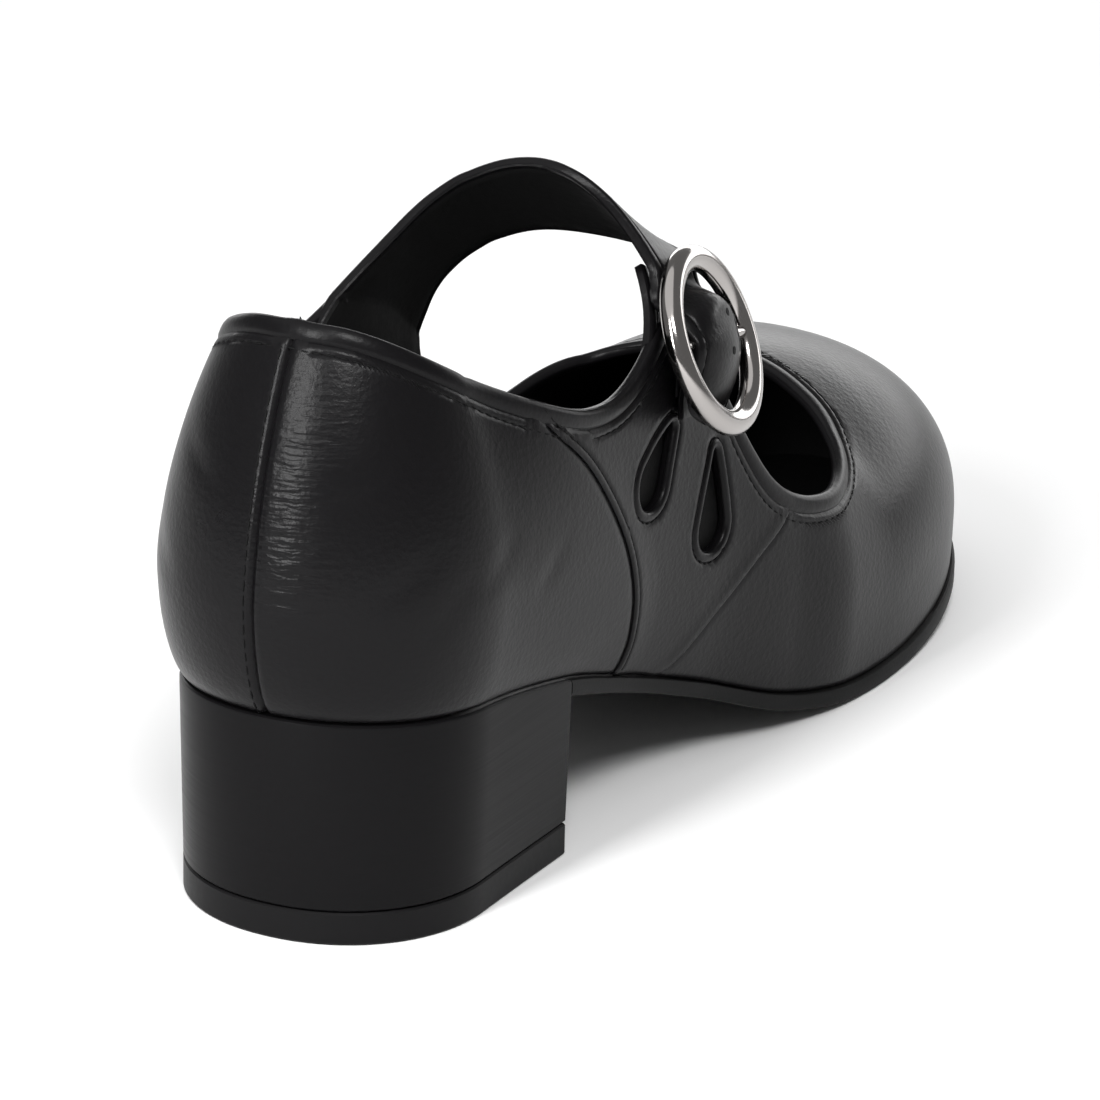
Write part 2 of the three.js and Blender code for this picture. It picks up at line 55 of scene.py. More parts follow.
LAT, MED = 1, -1
BACK_Y, TIP_Y, TIP_X = -6.0, 243.3, -4.0
BACK_FEATHER_Y, TIP_FEATHER_Y = 0.3, 242.6
HEEL_PIVOT_Y, TOE_PIVOT_Y = 28.0, 168.0
BACK_WIDE_Z, TIP_WIDE_Z = 62.0, 19.0
HEEL_OUTLINE_POWER, TOE_OUTLINE_POWER, TOE_FEATHER_POWER = 2.1, 2.25, 2.3
TUCK_POWER, TOE_ROUND = 1.7, 2.25
TOE_DIP, TOE_DIP_LENGTH = 1.7, 4.0
WIDE_SHARE = 0.3
WALL = 2.2

SECTION_COLUMNS = ("y", "feather_lat", "feather_med", "wide_lat", "wide_med", "wide_z",
                   "ridge_x", "ridge_z", "round_lat", "round_med")
SECTION_ROWS = [
    (20, 27.2, -27.4, 31, -32, 60, 0, 126, 1.6, 1.6),
    (28, 27.2, -27.4, 31, -32, 60, 0, 126, 1.6, 1.6),
    (57, 27.6, -26, 32, -31, 59, 1, 132, 2.1, 1.9),
    (80, 28, -22, 32.5, -28.5, 56, 3, 124, 2.3, 1.9),
    (105, 31, -21.5, 34.5, -29, 45, 3, 99.5, 2.5, 1.9),
    (130, 36.8, -27, 39, -33, 31, -2, 79, 2.4, 2),
    (150, 40.8, -34, 42.8, -38.5, 22, -6, 66, 2.2, 2.1),
    (168, 42, -38.5, 42.8, -41.5, 18, -8, 58.2, 2.15, 2.15),
    (176, 42, -38.5, 42.8, -41.5, 18, -8, 54.8, 2.15, 2.15),
]
FEATHER_LINE = [(-6, 41.7), (28, 39), (57, 34), (80, 27), (105, 18.2), (130, 8.5), (142, 5.6),
                (153, 4.1), (160, 3.8), (170, 3.8), (190, 5.1), (210, 7.4), (230, 10.6), (247, 14.2)]


def smooth(rows, column=1):
    """A function of the first column that passes smoothly, without overshoot, through another."""
    at = np.array([row[0] for row in rows], float)
    value = np.array([row[column] for row in rows], float)
    slope = np.diff(value) / np.diff(at)
    product = slope[:-1] * slope[1:]
    both = np.where(product > 0, slope[:-1] + slope[1:], 1.0)
    tangent = np.concatenate([slope[:1], np.where(product > 0, 2 * product / both, 0), slope[-1:]])

    def read(x):
        x = np.clip(x, at[0], at[-1])
        i = np.clip(np.searchsorted(at, x, side="right") - 1, 0, len(at) - 2)
        span = at[i + 1] - at[i]
        t = (x - at[i]) / span
        blend = t * t * (3 - 2 * t)
        bend = span * t * (1 - t) * ((1 - t) * tangent[i] - t * tangent[i + 1])
        return value[i] * (1 - blend) + value[i + 1] * blend + bend

    return read


section = {name: smooth(SECTION_ROWS, k) for k, name in enumerate(SECTION_COLUMNS) if k}
feather_z = smooth(FEATHER_LINE)


def mix(a, b, share):
    return a + (b - a) * share


def place_at(y):
    return 1 + (np.asarray(y, float) - HEEL_PIVOT_Y) / (TOE_PIVOT_Y - HEEL_PIVOT_Y)


def half_section(q):
    """Feather, widest and top points of the last at q. q is 0 at the back seam, 1 to 2 along the
    outer side and 3 at the toe tip; negative on the inner side."""
    q = (np.asarray(q, float) + 3) % 6 - 3
    place = np.abs(q)
    outer = q >= 0
    y = HEEL_PIVOT_Y + (TOE_PIVOT_Y - HEEL_PIVOT_Y) * np.clip(place - 1, 0, 1)
    heel, toe = np.clip(1 - place, 0, 1), np.clip(place - 2, 0, 1)
    turn = (heel + toe) * math.pi / 2
    top = np.stack([section["ridge_x"](y), y], -1)
    centre_x = np.where(toe > 0, TIP_X, top[:, 0])

    def fanned(name, back_y, tip_y, toe_power):
        x = np.where(outer, section[name + "_lat"](y), section[name + "_med"](y))
        end = np.where(toe > 0, tip_y, back_y)
        power = np.where(toe > 0, toe_power, HEEL_OUTLINE_POWER)
        along, across = np.sin(turn) ** (2 / power), np.abs(np.cos(turn)) ** (2 / power)
        fan = np.stack([mix(centre_x, x, across), mix(y, end, along)], -1)
        return np.where(fans_out[:, None], fan, np.stack([x, y], -1))

    fans_out = (heel + toe) > 0
    feather = fanned("feather", BACK_FEATHER_Y, TIP_FEATHER_Y, TOE_FEATHER_POWER)
    wide = fanned("wide", BACK_Y, TIP_Y, TOE_OUTLINE_POWER)
    wide_z = mix(mix(section["wide_z"](y), BACK_WIDE_Z, heel), TIP_WIDE_Z, toe)
    power_up = mix(np.where(outer, section["round_lat"](y), section["round_med"](y)), TOE_ROUND, toe)
    return feather, wide, top, wide_z, section["ridge_z"](y), power_up


def on_last(q, share):
    """Points of the last's surface: share runs from 0 at the feather to 1 at the top."""
    q, share = np.broadcast_arrays(np.asarray(q, float), np.asarray(share, float))
    shape = q.shape
    q, share = q.ravel(), np.clip(share.ravel(), -0.02, 1)
    feather, wide, top, wide_z, top_z, power_up = half_section(q)
    low = np.clip(1 - share / WIDE_SHARE, 0, 1) * math.pi / 2
    tuck = np.abs(np.cos(low)) ** (2 / TUCK_POWER)
    fall = np.sin(low) ** (2 / TUCK_POWER)
    high = np.clip((share - WIDE_SHARE) / (1 - WIDE_SHARE), 0, 1) * math.pi / 2
    reach = np.abs(np.cos(high)) ** (2 / power_up)
    rise = np.sin(high) ** (2 / power_up)
    below = share < WIDE_SHARE
    plan = np.where(below[:, None], mix(feather, wide, tuck[:, None]), mix(top, wide, reach[:, None]))
    beyond = np.maximum(0, plan[:, 1] - TOE_PIVOT_Y)
    top_z = top_z - TOE_DIP * (1 - np.exp(-beyond / TOE_DIP_LENGTH))
    z = np.where(below, mix(wide_z, feather_z(feather[:, 1]), fall), mix(wide_z, top_z, rise))
    return np.concatenate([plan, z[:, None]], -1).reshape(shape + (3,))


def unit(v):
    return v / np.maximum(np.linalg.norm(v, axis=-1, keepdims=True), 1e-12)


def slopes(q, share, step=2e-3):
    """How the surface point moves with q and with share."""
    inner = np.clip(share, step, 1 - step)
    by_q = (on_last(q + step, inner) - on_last(q - step, inner)) / (2 * step)
    by_share = (on_last(q, inner + step) - on_last(q, inner - step)) / (2 * step)
    return by_q, by_share


def outward(q, share):
    by_q, by_share = slopes(q, share)
    return unit(np.cross(by_q, by_share))


def lifted(q, share, lift):
    return on_last(q, share) + outward(q, share) * np.asarray(lift, float)[..., None]


def from_side(y, z, side):
    """(q, share) of the points that show at y, z when the last is seen from one side."""
    y, z = np.asarray(y, float), np.asarray(z, float)

    def share_at(place):
        low, high = np.zeros_like(z), np.ones_like(z)
        for _ in range(26):
            middle = (low + high) / 2
            under = on_last(place * side, middle)[:, 2] < z
            low, high = np.where(under, middle, low), np.where(under, high, middle)
        return (low + high) / 2

    back, front = np.zeros_like(y), np.full_like(y, 3.0)
    for _ in range(26):
        middle = (back + front) / 2
        behind = on_last(middle * side, share_at(middle))[:, 1] < y
        back, front = np.where(behind, middle, back), np.where(behind, front, middle)
    place = (back + front) / 2
    return np.stack([place * side, share_at(place)], -1)


def spline(points, step):
    """Points about a step apart on a smooth curve through the given ones."""
    points = np.asarray(points, float)
    ends = np.vstack([2 * points[0] - points[1], points, 2 * points[-1] - points[-2]])
    parts = []
    for k in range(len(points) - 1):
        a, b, c, d = ends[k:k + 4]
        t = np.linspace(0, 1, 25)[:-1, None]
        parts.append(0.5 * (2 * b + (c - a) * t + (2 * a - 5 * b + 4 * c - d) * t ** 2
                            + (3 * b - a - 3 * c + d) * t ** 3))
    return spaced(np.vstack(parts + [points[-1:]]), step)


def spaced(points, step, measure=None):
    """The same line with its points an even step apart, measured on it or on its points in space."""
    along = points if measure is None else measure
    run = np.concatenate([[0], np.cumsum(np.linalg.norm(np.diff(along, axis=0), axis=1))])
    count = max(2, int(round(run[-1] / step)) + 1)
    at = np.linspace(0, run[-1], count)
    return np.stack([np.interp(at, run, column) for column in points.T], -1)


def side_line(rows, side, step=0.9):
    """A line drawn in the side view, laid on one side of the last, as (q, share) rows."""
    dense = spline(rows, step)
    laid = from_side(dense[:, 0], dense[:, 1], side)
    return spaced(laid, step, on_last(laid[:, 0], laid[:, 1]))


def beside(line, offset, inward):
    """The line moved over the surface by an offset, to its left (inward 1) or its right (-1)."""
    moved = line.copy()
    start = on_last(line[:, 0], line[:, 1])
    heading = unit(np.gradient(start, axis=0))
    aim = unit(np.cross(outward(line[:, 0], line[:, 1]), heading)) * inward
    hops = max(1, int(math.ceil(abs(offset) / 1.2)))
    for _ in range(hops):
        by_q, by_share = slopes(moved[:, 0], moved[:, 1])
        aa, ab, bb = (by_q ** 2).sum(1), (by_q * by_share).sum(1), (by_share ** 2).sum(1)
        normal = unit(np.cross(by_q, by_share))
        level = unit(aim - normal * (aim * normal).sum(1, keepdims=True)) * (offset / hops)
        da, db = (level * by_q).sum(1), (level * by_share).sum(1)
        det = np.maximum(aa * bb - ab ** 2, 1e-9)
        moved = moved + np.stack([(bb * da - ab * db) / det, (aa * db - ab * da) / det], -1)
    return moved


def distance(points, line):
    """Distance of each point from a line through points in space."""
    start, step = line[:-1], np.diff(line, axis=0)
    length = np.maximum((step ** 2).sum(1), 1e-12)
    best = np.full(len(points), 1e9)
    for first in range(0, len(points), 4000):
        arm = points[first:first + 4000, None] - start[None]
        t = np.clip((arm * step).sum(-1) / length, 0, 1)
        gap = arm - t[..., None] * step
        best[first:first + 4000] = np.sqrt((gap ** 2).sum(-1).min(1))
    return best


def inside(points, loop):
    """Whether each flat point is inside a closed loop."""
    x, y = points[:, 0], points[:, 1]
    result = np.zeros(len(points), bool)
    for (ax, ay), (bx, by) in zip(loop, np.roll(loop, -1, axis=0)):
        if ay != by:
            crosses = ((ay > y) != (by > y)) & (x < (bx - ax) * (y - ay) / (by - ay) + ax)
            result ^= crosses
    return result


# ----------------------------------------
# Cutting lines of the upper, in the side view (y, z): the topline and throat, the two seams
# on each side, and the teardrop cut-outs.
# ----------------------------------------
TOPLINE_LAT = [(9, 109.2), (12, 108), (23, 100.7), (35, 93.8), (48, 87.6), (58, 84), (67, 82.8),
               (74, 83.7), (81, 86.2), (88, 89.6), (91.5, 90.6)]
THROAT_LAT = [(106.5, 88.6), (109.6, 84), (111.2, 78), (113, 71.5), (118, 61.5), (125, 52),
              (134, 46.5), (144, 44.3), (154, 44.2), (163, 46.2), (171, 50), (175.5, 53)]
TOPLINE_MED = [(9, 109.2), (12, 108), (23, 101), (33, 94.8), (42, 90.5), (50, 88.6), (57, 89),
               (62, 90.7), (66.5, 93.2)]
THROAT_MED = [(96, 79), (98.5, 74.5), (104, 66.5), (113, 58.5), (124, 53), (136, 50.3),
              (148, 50.4), (159, 52.6), (169, 55)]
QUARTER_SEAM = [(42, 90.5), (46.3, 84), (57.1, 74.4), (66.1, 63.8), (72.9, 53.6), (76.8, 44.1),
                (77.7, 36.1), (77, 32), (75.8, 28.4)]
VAMP_SEAM = [(131.5, 48.4), (127, 43.6), (119, 39), (111.5, 34.4), (104, 29.8), (96.5, 25),
             (91, 22.4)]
VAMP_SEAM_MED = [(131.5, 53.2), (127, 47), (119, 40.5), (111.5, 34.8), (104, 29.8), (96.5, 25),
                 (91, 22.4)]
TEARDROPS = [
    {"y": 81.5, "z": 63.5, "radius": 5.0, "tip_y": 90.0, "tip_z": 72.5},
    {"y": 103.2, "z": 49.0, "radius": 4.7, "tip_y": 105.0, "tip_z": 63.5},
]
LINE_STEP = 0.9
WHOLE_TURN = [6, 0]  # once round the last, as a step in (q, share)
BACK_TOP_SHARE = from_side([6.0], [109.8], LAT)[0, 1]

topline_lat = side_line(TOPLINE_LAT, LAT)
topline_med = side_line(TOPLINE_MED, MED)
back_top = np.array([[0.0, BACK_TOP_SHARE]])
throat_lat = side_line(THROAT_LAT, LAT)
throat_med = side_line(THROAT_MED, MED)
# The front of the throat crosses the top of the vamp, so it is drawn in plan (x, y)
THROAT_FRONT = [(20.4, 172.3), (14.4, 175.5), (8.5, 177.5), (2, 178.6), (-5, 178.2), (-11, 175.8),
                (-15.5, 172.3), (-18.4, 169.2)]


def from_plan(x, y):
    """(q, share) of the points over x, y in front of the toe pivot, q running 2 to 4."""
    aim = np.stack([x, y], -1)
    low, high = np.full(len(x), 2.0), np.full(len(x), 4.0)
    for _ in range(26):
        q = (low + high) / 2
        _, wide, top, _, _, _ = half_section(q)
        arm, want = wide - top, aim - top
        right = arm[:, 0] * want[:, 1] - arm[:, 1] * want[:, 0] > 0
        low, high = np.where(right, q, low), np.where(right, high, q)
    _, wide, top, _, _, power_up = half_section(q)
    reach = np.linalg.norm(aim - top, axis=1) / np.linalg.norm(wide - top, axis=1)
    share = WIDE_SHARE + (1 - WIDE_SHARE) * np.arccos(reach ** (power_up / 2)) / (math.pi / 2)
    return np.stack([q, share], -1)


def joined(*lines):
    """One line from several that follow on from each other, its points an even step apart."""
    whole = np.vstack(lines)
    run = on_last(whole[:, 0], whole[:, 1])
    kept = np.concatenate([[True], np.linalg.norm(np.diff(run, axis=0), axis=1) > 0.15])
    return spaced(whole[kept], LINE_STEP, run[kept])


def eased(line, times):
    """The line with small kinks smoothed out; its ends stay."""
    line = line.copy()
    for _ in range(times):
        line[1:-1] = (line[:-2] + 2 * line[1:-1] + line[2:]) / 4
    return spaced(line, LINE_STEP, on_last(line[:, 0], line[:, 1]))


front = spline(THROAT_FRONT, LINE_STEP)
front = from_plan(front[:, 0], front[:, 1])
topline_lat = np.vstack([back_top, topline_lat[1:]])
topline_med = np.vstack([back_top, topline_med[1:]])
throat_back = throat_med[:-1] + WHOLE_TURN
# A few points are left out where two lines meet, so that the easing rounds the corner
throat = eased(joined(throat_lat[:-9], front[4:-4], throat_back[::-1][4:]), 14)
topline = eased(joined(topline_lat[::-1], topline_med[1:]), 3)
quarter_seam_lat = side_line(QUARTER_SEAM, LAT)
quarter_seam_med = side_line(QUARTER_SEAM, MED)
vamp_seam_lat = side_line(VAMP_SEAM, LAT)
vamp_seam_med = side_line(VAMP_SEAM_MED, MED)


def ends_on(line, high):
    """The line with its lower end on the feather and its upper end on another line's nearest point."""
    line = np.vstack([line[line[:, 1] > 0.015], [line[-1, 0], 0.0]])
    near = on_last(high[:, 0], high[:, 1]) - on_last(line[:1, 0], line[:1, 1])
    line[0] = high[np.argmin((near ** 2).sum(1))]
    return line


def between_points(line, start, end):
    """The stretch of a line between the points nearest to two others."""
    flat = on_last(line[:, 0], line[:, 1])
    i, j = (int(np.argmin(((flat - on_last(*np.asarray(p, float))) ** 2).sum(1))) for p in (start, end))
    return line[i:j + 1] if i <= j else line[j:i + 1][::-1]


quarter_seam_lat = ends_on(quarter_seam_lat, topline)
quarter_seam_med = ends_on(quarter_seam_med, topline)
vamp_seam_lat = ends_on(vamp_seam_lat, throat)
vamp_seam_med = ends_on(vamp_seam_med + WHOLE_TURN, throat)

# ----------------------------------------
# Heel quarters: two pieces of black calf that wrap the heel, stitched together down the back
# and turned outwards a little there, so that the seam lies in a narrow furrow.
# ----------------------------------------


def feather(q_from, q_to):
    count = max(2, int(abs(q_to - q_from) * 110))
    return np.stack([np.linspace(q_from, q_to, count), np.zeros(count)], -1)


CHART_Q, CHART_X = [-3, -2, -1, 1, 2, 4, 5, 7], [-280, -190, -50, 50, 190, 370, 510, 610]
CHART_SHARE, CHART_Y = [0, WIDE_SHARE, 1], [0, 27, 107]


def chart(line):
    return np.stack([np.interp(line[:, 0], CHART_Q, CHART_X),
                     np.interp(line[:, 1], CHART_SHARE, CHART_Y)], -1)


def unchart(flat):
    return np.stack([np.interp(flat[:, 0], CHART_X, CHART_Q),
                     np.interp(flat[:, 1], CHART_Y, CHART_SHARE)], -1)


def lay_out(edges, holes=(), step=1.15):
    """Triangles that fill a panel. edges follow each other anticlockwise; each is a line and the
    distances from it at which the mesh gets extra rows. Gives (q, share) points and faces."""
    loops = [np.vstack([line[:-1] for line, _ in edges])] + [line[:-1] for line, _ in holes]
    flat_loops = [chart(loop) for loop in loops]
    fences = [on_last(*np.vstack([loop, loop[:1]]).T) for loop in loops]

    def clear(points, gap):
        space = on_last(points[:, 0], points[:, 1])
        return np.min([distance(space, fence) for fence in fences], axis=0) > gap

    def within(points):
        flat = chart(points)
        result = inside(flat, flat_loops[0])
        for hole in flat_loops[1:]:
            result &= ~inside(flat, hole)
        return result

    rows = []
    for line, offsets in list(edges) + list(holes):
        for offset in offsets:
            row = beside(line, offset, 1)
            row = row[within(row) & clear(row, 0.8 * offset)]
            if len(row) > 2:
                rows.append(row)
    low, high = flat_loops[0].min(0), flat_loops[0].max(0)
    x, y = np.meshgrid(np.arange(low[0], high[0], step), np.arange(low[1], high[1], step * 0.87))
    x[1::2] += step / 2
    lattice = unchart(np.stack([x.ravel(), y.ravel()], -1))
    lattice = lattice[within(lattice)]
    widest = max([0.0] + [offset for _, offsets in list(edges) + list(holes) for offset in offsets])
    lattice = lattice[clear(lattice, 0.7 * step)]
    if rows:
        placed = on_last(*np.vstack(rows).T)
        near = ~clear(lattice, widest + step)
        spots = on_last(*lattice.T)
        keep = np.ones(len(lattice), bool)
        index = np.nonzero(near)[0]
        for first in range(0, len(index), 2000):
            part = index[first:first + 2000]
            gap = ((spots[part, None] - placed[None]) ** 2).sum(-1).min(1)
            keep[part] = gap > (0.6 * step) ** 2
        lattice = lattice[keep]
    points = np.vstack(loops + rows + [lattice])
    border, first = [], 0
    for loop in loops:
        border += [(first + k, first + (k + 1) % len(loop)) for k in range(len(loop))]
        first += len(loop)
    found = delaunay_2d_cdt([Vector(p) for p in chart(points)], border, [], 0, 1e-4, True)
    flat = np.array([tuple(v) for v in found[0]])
    faces = np.array(found[2])
    origin = np.array([ids[0] if ids else -1 for ids in found[3]])
    params = np.where((origin >= 0)[:, None], points[np.maximum(origin, 0)], unchart(flat))
    middle = flat[faces].mean(1)
    good = inside(middle, flat_loops[0])
    for hole in flat_loops[1:]:
        good &= ~inside(middle, hole)
    return params, faces[good]


def piece(name, points, faces, material, node, sharp=38.0):
    """A finished mesh piece: points in millimetres become metres in the shared frame."""
    mesh = bpy.data.meshes.new(name)
    mesh.from_pydata(((np.asarray(points) - SHIFT) / 1000.0).tolist(), [],
                     [tuple(int(k) for k in face) for face in faces])
    mesh.validate()
    mesh.shade_smooth()
    mesh.set_sharp_from_angle(angle=math.radians(sharp))
    mesh.materials.append(material)
    made = bpy.data.objects.new(name, mesh)
    bpy.context.scene.collection.objects.link(made)
    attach(made, "root")
    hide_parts(node)
    return made


def walled(front, back, faces):
    """A sheet with its back face and the wall round its edges."""
    count = len(front)
    ways = np.vstack([faces[:, [0, 1]], faces[:, [1, 2]], faces[:, [2, 0]]])
    known = set(map(tuple, ways.tolist()))
    rim = [(a, b) for a, b in ways.tolist() if (b, a) not in known]
    return np.vstack([front, back]), (faces.tolist() + (faces[:, ::-1] + count).tolist()
                                      + [(b, a, a + count, b + count) for a, b in rim])


def skirted(front, back, faces):
    """A sheet whose edges turn down to the back, which is open where it lies on the lining."""
    points, all_faces = walled(front, back, faces)
    return points, all_faces[:len(faces)] + all_faces[2 * len(faces):]


def panel(name, edges, material, holes=(), step=1.0, lift=0.0, depth=1.0, closed=False,
          creases=()):
    """A piece of leather laid on the last. Each edge or hole is (line, profile): the profile gives
    the height of the leather at distances from that line."""
    rows = [(line, [d for d, _ in profile if d > 0]) for line, profile in edges]
    hole_rows = [(line, [d for d, _ in profile if d > 0]) for line, profile in holes]
    params, faces = lay_out(rows, hole_rows, step)
    ground = on_last(params[:, 0], params[:, 1])
    height = np.full(len(params), float(lift))
    for line, profile in list(edges) + list(holes):
        if profile:
            away, rise = zip(*profile)
            height += np.interp(distance(ground, on_last(line[:, 0], line[:, 1])), away, rise)
    for crease in creases:
        height += crease_height(ground, *crease)
    front = lifted(params[:, 0], params[:, 1], height)
    back = lifted(params[:, 0], params[:, 1], np.full(len(params), lift - depth))
    points, all_faces = (walled if closed else skirted)(front, back, faces)
    return piece(name, points, all_faces, material, "upper")


def crease_height(ground, q, share, length, tilt, depth, width):
    """A soft fold: a trough of the given depth (a ridge where it is negative) that fades out at
    its ends. tilt turns it from level, in degrees."""
    centre = on_last(q, share)
    by_q, by_share = slopes(np.array([q]), np.array([share]))
    level, up = unit(by_q)[0], unit(by_share)[0]
    turn = math.radians(tilt)
    run = (ground - centre) @ (level * math.cos(turn) + up * math.sin(turn))
    side = (ground - centre) @ (up * math.cos(turn) - level * math.sin(turn))
    fade = np.clip(1 - (2 * run / length) ** 2, 0, 1) ** 2
    near = np.linalg.norm(ground - centre, axis=1) < length
    return -depth * fade * np.exp(-(side / width) ** 2) * near


class Shade:
    """One value on its way through a material's nodes. Arithmetic on it adds maths nodes."""

    def __init__(self, tree, socket=None):
        self.tree, self.socket = tree, socket

    def feed(self, socket, value):
        if isinstance(value, Shade):
            self.tree.links.new(value.socket, socket)
        else:
            socket.default_value = value

    def node(self, kind, settings=None, output=0, **values):
        made = self.tree.nodes.new(kind)
        for key, value in (settings or {}).items():
            setattr(made, key, value)
        for key, value in values.items():
            self.feed(made.inputs[key.replace("_", " ")], value)
        return Shade(self.tree, made.outputs[output])

    def maths(self, operation, *values):
        made = self.tree.nodes.new("ShaderNodeMath")
        made.operation = operation
        for socket, value in zip(made.inputs, values):
            self.feed(socket, value)
        return Shade(self.tree, made.outputs[0])

    def vector(self, operation, *values):
        made = self.tree.nodes.new("ShaderNodeVectorMath")
        made.operation = operation
        for socket, value in zip(made.inputs, values):
            self.feed(socket, value)
        return Shade(self.tree, made.outputs[0])

    def __add__(self, other):
        return self.maths("ADD", self, other)

    def __radd__(self, other):
        return self.maths("ADD", other, self)

    def __sub__(self, other):
        return self.maths("SUBTRACT", self, other)

    def __mul__(self, other):
        return self.maths("MULTIPLY", self, other)

    def __truediv__(self, other):
        return self.maths("DIVIDE", self, other)

    def __pow__(self, other):
        return self.maths("POWER", self, other)


def surface(name, colour, roughness, metallic=0.0):
    """A new material, a Shade to start from, its shader and its place in the object's frame."""
    material = bpy.data.materials.new(name)
    material.use_nodes = True
    tree = material.node_tree
    shader = next(n for n in tree.nodes if n.type == "BSDF_PRINCIPLED")
    shader.inputs["Base Color"].default_value = (*colour, 1.0)
    shader.inputs["Roughness"].default_value = roughness
    shader.inputs["Metallic"].default_value = metallic
    start = Shade(tree)
    place = start.node("ShaderNodeTexCoord", output=3)
    return material, start, shader, place


# Where the level wrinkles lie beside the back seam, in metres: middle and reach, side to side
# and up, how far behind they begin, and how the noise is drawn out
WRINKLE_X, WRINKLE_REACH, WRINKLE_Z, WRINKLE_HEIGHT = 0.0045, 0.0062, 0.078, 0.022
WRINKLE_BEHIND_Y, WRINKLE_DRAWN = -0.09, (150.0, 150.0, 1150.0)
GRAIN_HEIGHT, GRAIN_WANDER = 0.00012, 0.0007


def leather(name, colour, roughness, grain, cell=0.0011, gloss=0.3, brushed=0.0):
    """Smooth leather: fine pebble grain and a little pulling in the sheen. Brushed adds the fine
    level wrinkles drawn across the hide on the outer side of the back seam."""
    material, start, shader, place = surface(name, colour, roughness)
    shader.inputs["Specular IOR Level"].default_value = gloss
    wander = start.node("ShaderNodeTexNoise", output=1, Vector=place, Scale=520.0)
    bent = start.vector("MULTIPLY_ADD", wander, (GRAIN_WANDER,) * 3, place)
    pebble = start.node("ShaderNodeTexVoronoi", {"feature": "F1"}, Vector=bent, Scale=1.0 / cell)
    fine = start.node("ShaderNodeTexNoise", Vector=place, Scale=2600.0, Detail=2.0)
    drift = start.node("ShaderNodeTexNoise", Vector=place, Scale=420.0, Detail=2.0)
    cloud = start.node("ShaderNodeTexNoise", Vector=place, Scale=38.0, Detail=3.0)
    height = pebble * 0.6 + fine * 0.5 + drift * 0.5
    if brushed:
        x, y, z = (start.node("ShaderNodeSeparateXYZ", output=k, Vector=place) for k in range(3))
        beside_seam = start.maths("EXPONENT", ((x - WRINKLE_X) / WRINKLE_REACH) ** 2.0 * -1.0)
        high_up = start.maths("EXPONENT", ((z - WRINKLE_Z) / WRINKLE_HEIGHT) ** 4.0 * -1.0)
        behind = start.maths("LESS_THAN", y, WRINKLE_BEHIND_Y)
        drawn = start.vector("MULTIPLY", bent, WRINKLE_DRAWN)
        wrinkle = start.node("ShaderNodeTexNoise", Vector=drawn, Scale=1.0, Detail=1.5)
        height = height + wrinkle * beside_seam * high_up * behind * brushed
    bump = start.node("ShaderNodeBump", Strength=grain, Distance=GRAIN_HEIGHT, Height=height)
    start.feed(shader.inputs["Normal"], bump)
    start.feed(shader.inputs["Roughness"], roughness + (cloud - 0.5) * 0.16)
    return material


upper_leather = leather("upper_leather", (0.0050, 0.0047, 0.0052), 0.31, 0.45, gloss=0.12, brushed=6.5)
back_seam = np.stack([np.zeros(100), np.linspace(BACK_TOP_SHARE, 0, 100)], -1)
BACK_FURROW = [(0, -0.75), (0.25, -0.5), (0.6, -0.12), (1.1, 0.06), (1.9, 0.04), (3.5, 0)]
UNDER_BAND = [(3.2, -0.6), (3.6, -0.34), (4.0, -0.05), (4.6, 0.02), (5.0, -0.02), (5.25, -0.24),
              (5.5, -0.02), (6.2, 0)]
UNDER_LAP = [(0, -0.35), (0.5, -0.22), (1.2, -0.04), (2.5, 0)]
QUARTER_CREASES = [
    # q, share, length, tilt, depth, width
    (0.13, 0.59, 13, -8, 0.05, 1.0), (0.16, 0.50, 15, -4, 0.05, 1.1), (0.17, 0.42, 14, 4, 0.05, 1.1),
    (0.19, 0.33, 15, 6, 0.05, 1.2), (0.36, 0.50, 22, 24, 0.18, 2.4), (0.52, 0.36, 26, 32, 0.20, 3.0),
    (0.72, 0.30, 24, 38, 0.18, 3.2), (0.98, 0.36, 20, 28, 0.20, 2.6), (1.12, 0.30, 18, 34, 0.16, 2.4),
]
MED_CREASES = [(-q, share, length, -tilt, depth, width)
               for q, share, length, tilt, depth, width in QUARTER_CREASES[4:]]

heel_top_lat = between_points(topline, quarter_seam_lat[0], (0, BACK_TOP_SHARE))
heel_top_med = between_points(topline, (0, BACK_TOP_SHARE), quarter_seam_med[0])
panel("quarter_lateral", [
    (feather(0.0, quarter_seam_lat[-1, 0]), []),
    (quarter_seam_lat[::-1], UNDER_LAP),
    (heel_top_lat, UNDER_BAND),
    (back_seam, BACK_FURROW),
], upper_leather, creases=QUARTER_CREASES)
panel("quarter_medial", [
    (feather(quarter_seam_med[-1, 0], 0.0), []),
    (back_seam[::-1], BACK_FURROW),
    (heel_top_med, UNDER_BAND),
    (quarter_seam_med, UNDER_LAP),
], upper_leather, creases=MED_CREASES)

# ----------------------------------------
# Vamp: one piece of calf over the toes, lasted without a seam, with the U of the throat cut in it.
# ----------------------------------------
VAMP_LAP = [(0, -0.12), (0.3, -0.1), (0.7, 0), (1.6, 0)]
VAMP_CREASES = [(2.35, 0.70, 26, 6, 0.07, 3.4), (3.7, 0.68, 26, -8, 0.07, 3.4)]
vamp_top = between_points(throat, vamp_seam_med[0], vamp_seam_lat[0])
panel("vamp", [
    (feather(vamp_seam_lat[-1, 0], vamp_seam_med[-1, 0]), []),
    (vamp_seam_med[::-1], VAMP_LAP),
    (vamp_top, UNDER_BAND),
    (vamp_seam_lat, VAMP_LAP),
], upper_leather, step=1.15, creases=VAMP_CREASES)

